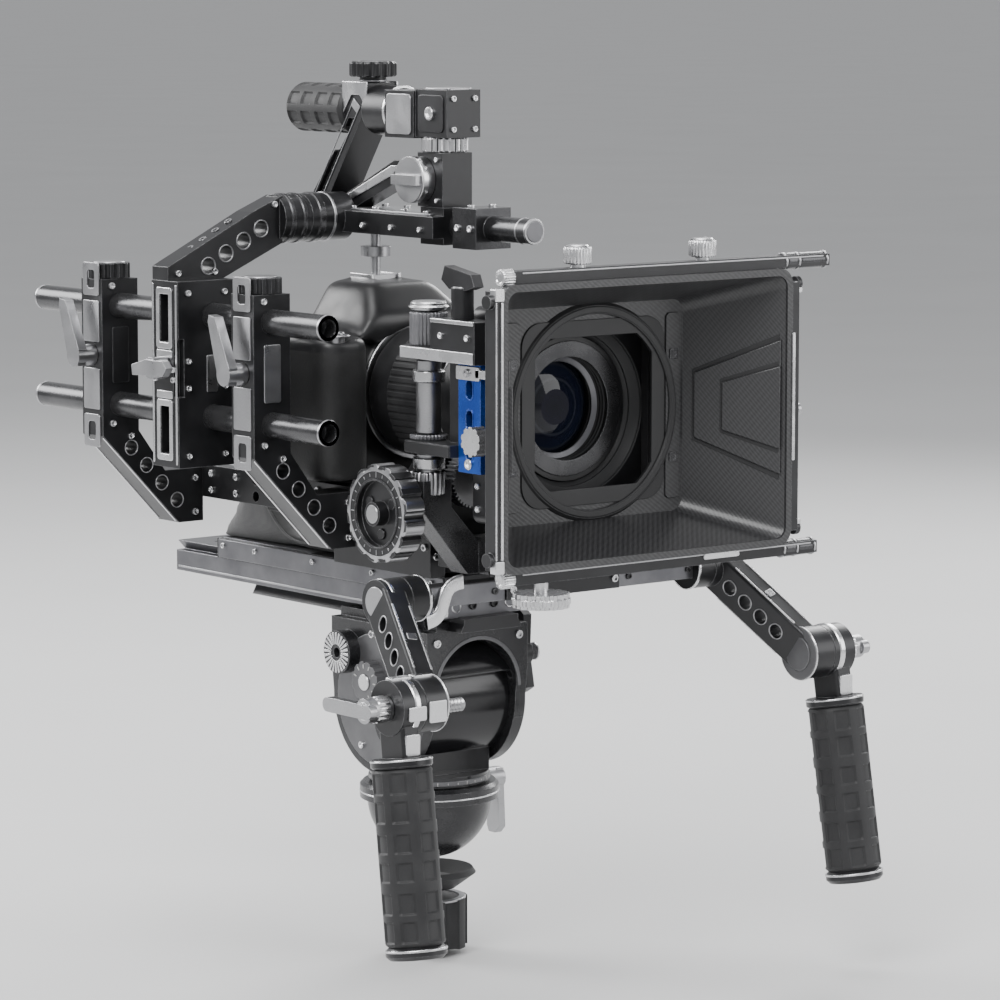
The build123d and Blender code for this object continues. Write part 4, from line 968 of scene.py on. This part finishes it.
def shade_outside():
    """Bars, rails, end screws, knobs and bright strips round the shade's mouth (the left bar's strip: a
    painted reflection).
    """
    body = "matte_box"
    bar = [((-109.5, -204, z), 6.4, 7.0, 0.8, 1.0, -4) for z in (170.0, 320.0)]
    bar.append(((-107.7, -204, 245), 1.8, 142, 0.6, 0.9, -0.4))
    bar.append(((-111.4, -204, 245), 1.0, 142, 0.4, 0.4, -0.4))
    plates("right_bar_trim", body, FRONT, bar, SILVER, 0.25)
    # the 74 mm strip is a painted reflection down the left bar; the two squares are its end fittings
    bar = [((107.6, -204, 251), 2.2, 74, 0.8, 0.9, -0.4)]
    bar += [((112.6, -200.5, z), 6.0, 6.6, 0.8, 2.2, -3) for z in (176.0, 314.0)]
    plates("left_bar_ends_and_painted_reflection", body, FRONT, bar, SILVER, 0.25)
    rings("left_bar_knob", body, LEFT, [((112, -199.5, 243), 3.6, 0, 4.6)], DULL_SILVER, ease=1.2)
    knurl = ribs(5.0, 0.6, 18)
    barrel = [(0, 0), (4.2, 0), (knurl, 0.8), (knurl, 7.6), (4.2, 8.4), (3.0, 8.6), (2.4, 8.0), (0, 8.0)]
    for name, z, end in (("top", 328.5, 140), ("bottom", 161.5, 132)):
        end_screw = (placed((-94, RAIL_Y - 1, z), RIGHT), barrel, 108)
        group(f"{name}_rail_end_screw", body, SILVER, lathe, [end_screw])
        line = [(((end - 94) / 2, MOUTH_Y, z + 2.3), end + 84, 0.9, 0.3, 0.35)]
        plates(f"{name}_rail_line", body, FRONT, line, DULL_SILVER, 0.1)
        spots = [((x, RAIL_Y, z), 5.2, 0, 1.6) for x in (106, 116, end - 2.4)]
        rings(f"{name}_rail_rings", body, LEFT, spots, DULL_SILVER)
        spots = [((108.4, RAIL_Y, z), 4.9, 0, 7.2), ((118.6, RAIL_Y, z), 4.7, 0, end - 121.6)]
        rings(f"{name}_rail_sleeve", body, LEFT, spots, ROD)
    plates("bottom_rail_plate", body, FRONT, [((57.4, MOUTH_Y, 162.6), 27, 3.4, 1.2, 0.8)], SILVER, 0.2)
    knob_axes = (-46, 46)
    spots = [((x, RAIL_Y, 343), 6.4, 0, 1.6) for x in knob_axes]
    rings("thumb_knob_tops", body, UP, spots, SILVER, ease=0.9)
    knurl = ribs(8.0, 0.45, 26)
    barrel = [(4.4, -3.6), (4.4, -0.4), (7.2, 0), (knurl, 0.8), (knurl, 8.6), (7.2, 9.4)]
    knobs = [(placed((x, RAIL_Y, 334), UP), barrel, 156) for x in knob_axes]
    group("thumb_knob_rims", body, SILVER, lathe, knobs)
    disc = [((-72, RAIL_Y, 145.4), 15.6, ribs(16.6, 0.9, 40), 0.7, 4.3)]
    knurled("height_disc_rim", body, UP, disc, SILVER, 160)
    outer, inner = rounded(213.4, 159.4, 8.6), rounded(209.4, 155.4, 7.6)
    rim = (placed((0, MOUTH_Y, 245), FRONT), outer, inner, SUNK, 0.7)
    group("mouth_rim", body, SHADE, frame_plate, [rim], 0.3)


# ---- the head
TILT_Z = 62  # height of the tilt axis
ARCH_Z = 70  # height of the round arches' own axis
ARCH_R = 30.2  # radius of the covers' round end
BONNET_R = (40.9, 45.2)  # inner and outer radius about the tilt axis
DISC = (-14, 50)  # Y and Z of the small disc on the right drum face


def arch_bonnet(name, side):
    """The curved cover in the round end of an arch. It rides round the drum as the head tilts."""
    rows, columns = 14, 24
    low_angle = math.radians(22)
    bm = bmesh.new()
    skins = []
    for radius in BONNET_R:
        skin = []
        for column in range(columns + 1):
            x = ARCH_R * math.sin(math.pi * (column / columns - 0.5)) * 0.995
            crown = ARCH_Z - TILT_Z + math.sqrt(ARCH_R**2 - x**2)
            high_angle = math.asin(min(1.0, crown / radius))
            line = []
            for row in range(rows + 1):
                angle = low_angle + (high_angle - low_angle) * row / rows
                spot = (x, side * radius * math.cos(angle), TILT_Z + radius * math.sin(angle))
                line.append(bm.verts.new(spot))
            skin.append(line)
        for first, second in zip(skin, skin[1:]):
            for i in range(rows):
                bm.faces.new((first[i], first[i + 1], second[i + 1], second[i]))
        skins.append(skin)
    inner, outer = skins
    rim = [(c, 0) for c in range(columns + 1)] + [(columns, r) for r in range(1, rows + 1)]
    rim += [(c, rows) for c in range(columns - 1, -1, -1)] + [(0, r) for r in range(rows - 1, 0, -1)]
    for (c, r), (d, q) in zip(rim, rim[1:] + rim[:1]):
        bm.faces.new((inner[c][r], inner[d][q], outer[d][q], outer[c][r]))
    piece(f"{name}_arch_bonnet", bm, DRUM, "tilt", 0.6)


def tilt_drum():
    """Drum faces, discs, hubs and screws, and the arches with their covers."""
    for side in SIDES:
        face = [((side * 38, 0, TILT_Z), 40.5, SUNK, 0.9)]
        rings(f"drum_face_{SIDE_NAMES[side]}", "tilt", (side, 0, 0), face, HEAD_SIDE, ease=0.6)
    rings("drum_disc_right", "tilt", RIGHT, [((-38.9, *DISC), 15.5, 0, 2.0)], HEAD, ease=0.8)
    rings("drum_disc_left", "tilt", LEFT, [((38.9, 0, TILT_Z), 22, 0, 2.0)], HEAD, ease=0.8)
    rings("drum_hub_right", "tilt", RIGHT, [((-40.9, *DISC), 6.0, 0, 1.6)], SILVER, ease=0.5)
    rings("drum_hub_left", "tilt", LEFT, [((40.9, 0, TILT_Z), 7.0, 0, 1.6)], SILVER, ease=0.5)
    for side, angles in ((-1, (3.6, 4.4, 5.2, 6.0)), (1, (0.4, 1.4, 2.6, 3.6, 4.7, 5.8))):
        spots = [(side * 38.9, 33 * math.cos(a), TILT_Z + 33 * math.sin(a)) for a in angles]
        screws(f"drum_screws_{SIDE_NAMES[side]}", "tilt", spots, (side, 0, 0), 2.2)
    half_turn = [math.pi * i / 32 for i in range(33)]
    arch = [(30.6 * math.cos(a), 30.6 * math.sin(a)) for a in half_turn]
    outline = [(x * 1.07, z * 1.07) for x, z in arch] + arch[::-1]
    for name, side in (("front", -1), ("rear", 1)):
        place = placed((0, side * 46.9, ARCH_Z), (0, side, 0))
        group(f"{name}_arch", "tilt", HEAD_SIDE, prism, [(place, outline, -0.4, 0.5)], 0.2)
        arch_bonnet(name, side)


def fluid_head():
    """Rosette, dial marks, lever caps, platform screws and the pan scale of the fluid head."""
    tooth = [(-0.5, -3.6), (0.5, -3.6), (0.9, 3.6), (-0.9, 3.6)]
    teeth = [
        (placed((-47, 30 + 8.6 * y, 88 + 8.6 * z), RIGHT, (0, y, z)), tooth, SUNK, 0.7)
        for _, _, y, z in turned(24)
    ]
    group("pan_bar_rosette", "tilt", SILVER, prism, teeth, 0.1)
    dial = corners("drag_dial")[2]
    ticks = []
    for step in range(8):
        angle = math.radians(20 + 32 * step)
        y, z = math.cos(angle), math.sin(angle)
        ticks.append(((-45.8, dial.y + 9.6 * y, dial.z + 9.6 * z), RIGHT, (0, y, z), 2.6))
    marks("drag_dial_marks", "drag", INK, 0.7, -0.1, 0.2, ticks)
    rings("drag_dial_cap", "drag", RIGHT, [((-45.7, dial.y, dial.z), 5.0, 0, 1.2)], SILVER)
    rings("tilt_lock_cap", "tilt_lock", LEFT, [((56, -30, 86), 5.4, -0.1, 1.4)], SILVER)
    screws("platform_screws", "tilt", grid((-31, 31), -47, 101), FRONT, 2.6)
    screws("platform_rear_screws", "tilt", grid((-31, 31), 47, 101), REAR, 2.6)
    screws("platform_side_screws", "tilt", grid(-38, (-34, 6), 101), RIGHT, 2.4)
    rings("flange_line", "head_base", UP, [((0, 0, 3.2), 42.3, 0, 1.2)], SILVER, 41.5, 0.3)
    rings("pan_ring", "pan", UP, [((0, 0, 11.2), 36.8, 0, 3.4)], HEAD_SIDE, 35.4, 0.5)
    ticks = [
        ((36.7 * x, 36.7 * y, 12.9), (x, y, 0), UP, 1.2 if i % 3 else 2.2) for i, _, x, y in turned(36)
    ]
    marks("pan_scale_marks", "pan", INK, 0.5, SUNK, 0.25, ticks)
    rings("tie_down_ring", "tie_down", UP, [((0, 0, -63), 22.0, 0, 1.6)], DULL_SILVER, 18, 0.4)


# ---- handgrips
def handgrips():
    """Arms, knuckles, sleeves and end caps of both handgrips."""
    for side in SIDES:
        name, out = SIDE_NAMES[side], (side, 0, 0)
        grip_arm(name, out, side)
        arm, grip = f"arm_{name}", f"grip_{name}"
        face = (side * 138, *KNUCKLE_AXIS)
        inward = (-side, 0, 0)
        faces = [(face, 15.8, -0.4, 1.6), (face, 10.5, 1.4, 2.3)]
        rings(f"knuckle_face_{name}", arm, inward, faces, HEAD_SIDE, ease=0.6)
        rings(f"knuckle_edge_{name}", arm, inward, [(face, 16.2, 0.2, 1.3)], SILVER, 15.0)
        band = [((side * 158, *KNUCKLE_AXIS), 16.1, -2.2, 2.2)]
        rings(f"knuckle_band_{name}", grip, out, band, SILVER, 15.2, 0.8)
        hub = Vector((side * 161, *KNUCKLE_AXIS))
        down = (Vector((side * 164, -200, -40)) - hub).normalized()
        sleeve = f"grip_sleeve_{name}"
        grip_sleeve(sleeve, hub + down * 33, hub + down * 131, 16.8, f"grip_handle_{name}", grip, 3, 7)
        rings(f"grip_top_rim_{name}", grip, down, [(hub + down * 30.5, 17.2, -2.6, 2.6)], BLACK, ease=0.9)
        line = [(hub + down * 29.0, 17.4, -0.6, 0.6)]
        rings(f"grip_top_line_{name}", grip, down, line, SILVER, 16.0, 0.3)
        rings(f"grip_end_cap_{name}", grip, down, [(hub + down * 131, 17.0, SUNK, 7)], BLACK, ease=2.0)
        line = [(hub + down * 133, 17.4, -0.7, 0.7)]
        rings(f"grip_end_line_{name}", grip, down, line, SILVER, 16.0, 0.3)
        screws(f"grip_end_screw_{name}", grip, [hub + down * 137.6], down, 4.0, SILVER, 1.2)
        yoke = [(hub + down * 19.5, 9.5, 12, 1.5, 12.2, 9.6)]
        plates(f"yoke_plate_{name}", grip, FRONT, yoke, SILVER, up=-down)
        cap = [((side * 183.6, *KNUCKLE_AXIS), 5.2, 0, 1.2)]
        rings(f"lever_cap_{name}", f"lever_{name}", out, cap, SILVER)
        knurl = ribs(7.6, 0.7, 14)
        barrel = [(7.0, -4), (knurl, -3.2), (knurl, 3.2), (7.0, 4)]
        place = placed((side * 174, *KNUCKLE_AXIS), out)
        group(f"lever_knurl_{name}", f"lever_{name}", SILVER, lathe, [(place, barrel, 112)])


def grip_arm(name, out, side):
    """Hole rims, edge lines and the shoulder of one handgrip's arm."""
    arm = f"arm_{name}"
    start, end = Vector((side * 123, *ARM_AXIS)), Vector((side * 144.4, *KNUCKLE_AXIS))
    length = (end - start).length
    along = (end - start).normalized()
    across = (Vector(LEFT) - along * along.x).normalized()
    over = along.cross(across).normalized()
    for facing, word in ((1, "outer"), (-1, "inner")):
        spots = [(start + along * (19 + 13 * step) + across * (7 * facing), 4.2) for step in range(4)]
        hoops(f"grip_arm_rims_{name}_{word}", arm, across * facing, spots, DULL_SILVER, 0.8, 0.45)
    line, pad = rounded(1.2, length - 30, 0.4), rounded(6, 5, 1)
    parts = []
    for facing in SIDES:
        middle = start + along * (length / 2) + over * (12.5 * facing)
        for shift, outline, thick in ((-5.4, line, 0.35), (5.4, line, 0.35), (0, pad, 0.45)):
            parts.append((placed(middle + across * shift, over * facing, along), outline, SUNK, thick))
    group(f"grip_arm_trim_{name}", arm, SILVER, prism, parts, 0.1)
    band = [((side * 126, *ARM_AXIS), 13.4, -1.2, 1.2)]
    rings(f"shoulder_band_{name}", arm, out, band, SILVER, 12.6)
    rings(f"shoulder_cap_{name}", arm, out, [((side * 130, *ARM_AXIS), 9, SUNK, 0.9)], DULL_SILVER)


def near_knuckle():
    """The clamp screw and the bright straps of the lower knuckle on the right."""
    thread = [(0, 0), (2.6, 0)]
    for step in range(9):
        thread += [(4.0, 0.9 + 2.4 * step), (2.9, 2.1 + 2.4 * step)]
    clamp_thread = (placed((-137, -179, 92), LEFT), thread + [(0, 23.5)], 24)
    group("clamp_thread", "arm_right", DULL_SILVER, lathe, [clamp_thread])
    straps = (("arm", -145, 13), ("grip", -160, 14))
    for word, x, width in straps:
        strap = [((x, -179, 110.5), width, 6, 1, 1.2, -1.2)]
        plates(f"knuckle_strap_{word}", f"{word}_right", UP, strap, SILVER)
    plates("knuckle_front_arm", "arm_right", FRONT, [((-145, -194.3, 93), 12, 12, 1.2, 1.2)], SILVER)
    plates("knuckle_front_grip", "grip_right", FRONT, [((-159, -194.3, 93), 12, 8, 1.2, 1.2)], SILVER)


# ---- soft goods
PAD_VOXEL = 3.2  # size of the cells its cover is rebuilt from
PAD_SWELL = 3.0  # how far the cloth may bulge
PAD_SPREAD = 1.5 * MM  # its sides stay this close to the CAD pad's
PAD_SOLE = 0.3 * MM  # its underside stays this far above the CAD pad's


def shoulder_pad():
    """The foam shoulder pad: its cover is blown up a little as cloth, held to the CAD pad's sides and
    sole, then rounded.
    """
    pad = melted("shoulder_pad", "pad_cover", PAD_VOXEL, 6)
    blow_up(pad)
    low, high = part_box("shoulder_pad")
    for vertex in pad.data.vertices:
        vertex.co.z = max(vertex.co.z, low.z + PAD_SOLE)
        vertex.co.x = min(max(vertex.co.x, low.x - PAD_SPREAD), high.x + PAD_SPREAD)
    smooth = pad.modifiers.new("rounded", "SUBSURF")
    smooth.levels = smooth.render_levels = 1
    pad.data.materials.append(CLOTH)
    pad.data.shade_smooth()
    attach(pad, "rig")
    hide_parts("shoulder_pad")


def blow_up(pad):
    """Runs the cover as cloth under pressure and keeps the result, with its swell capped."""
    start = [vertex.co.copy() for vertex in pad.data.vertices]
    scene = bpy.context.scene
    cloth = pad.modifiers.new("cover", "CLOTH")
    cloth.settings.use_pressure = True
    cloth.settings.uniform_pressure_force = 4.0
    cloth.settings.effector_weights.gravity = 0.0
    for number in range(1, 15):
        scene.frame_set(number)
    graph = bpy.context.evaluated_depsgraph_get()
    swollen = bpy.data.meshes.new_from_object(pad.evaluated_get(graph))
    pad.modifiers.clear()
    for vertex, before, after in zip(pad.data.vertices, start, swollen.vertices):
        move = after.co - before
        vertex.co = before + move * min(1.0, PAD_SWELL * MM / max(move.length, 1e-9))
    scene.frame_set(1)


def pad_seams():
    """Piping along both upper edges of the pad."""
    top_line = [(-56, 148.6), (-20, 149.6), (30, 150.0), (70, 147.6)]
    top_line += [(98, 145.8), (116, 154.0), (135, 174.8), (149, 177.6)]
    for side in SIDES:
        line = [(side * 28.2, y, z) for y, z in top_line]
        run_of_line(f"pad_piping_{SIDE_NAMES[side]}", line, CLOTH, "rig", 0.75)


# ---- studio
def studio():
    """A wide pale floor, a pale room and soft lamps."""
    bm = bmesh.new()
    bmesh.ops.create_grid(bm, x_segments=8, y_segments=8, size=60)
    mesh = bpy.data.meshes.new("studio_floor")
    bm.to_mesh(mesh)
    bm.free()
    floor = linked("studio_floor", mesh)
    floor.location = (0, 0, cad_box[0].z - 0.0006)
    look = Finish("studio_floor", Roughness=0.9)
    tone = look.spread(look.noise(3.0, 2.0), 0.3, 0.7, 0.0, 1.0)
    look.to_shader("Base Color", look.mix(tone, (0.60, 0.60, 0.60), (0.62, 0.62, 0.62)))
    mesh.materials.append(look.material)
    world = bpy.data.worlds.new("studio")
    world.use_nodes = True
    sky = world.node_tree.nodes["Background"]
    sky.inputs["Color"].default_value = (0.80, 0.81, 0.83, 1.0)
    sky.inputs["Strength"].default_value = 0.72
    bpy.context.scene.world = world
    lamps = (
        ("key", (-1.5, -1.0, 1.9), 1.3, 58.0),
        ("fill", (1.5, -1.9, 0.9), 1.4, 22.0),
        ("top", (0.1, 0.3, 2.3), 1.6, 36.0),
        ("rim", (-0.9, 1.9, 1.2), 1.0, 40.0),
        ("edge", (1.9, 0.9, 1.3), 1.0, 34.0),
    )
    target = Vector((0, 0, 0.22))
    for name, spot, size, power in lamps:
        lamp = bpy.data.lights.new(name, "AREA")
        lamp.shape = "SQUARE"
        lamp.size = size
        lamp.energy = power
        holder = linked(name, lamp)
        holder.location = spot
        holder.rotation_euler = (target - Vector(spot)).to_track_quat("-Z", "Y").to_euler()


side_brackets()
sliding_clamp()
handle_arm()
top_handle()
handle_struts()
top_plate()
camera_body()
camera_trim()
lens()
base_plates()
crossbar()
follow_focus()
hinge_post()
hinge_arm()
shade_inside()
shade_outside()
tilt_drum()
fluid_head()
handgrips()
near_knuckle()
shoulder_pad()
pad_seams()
studio()
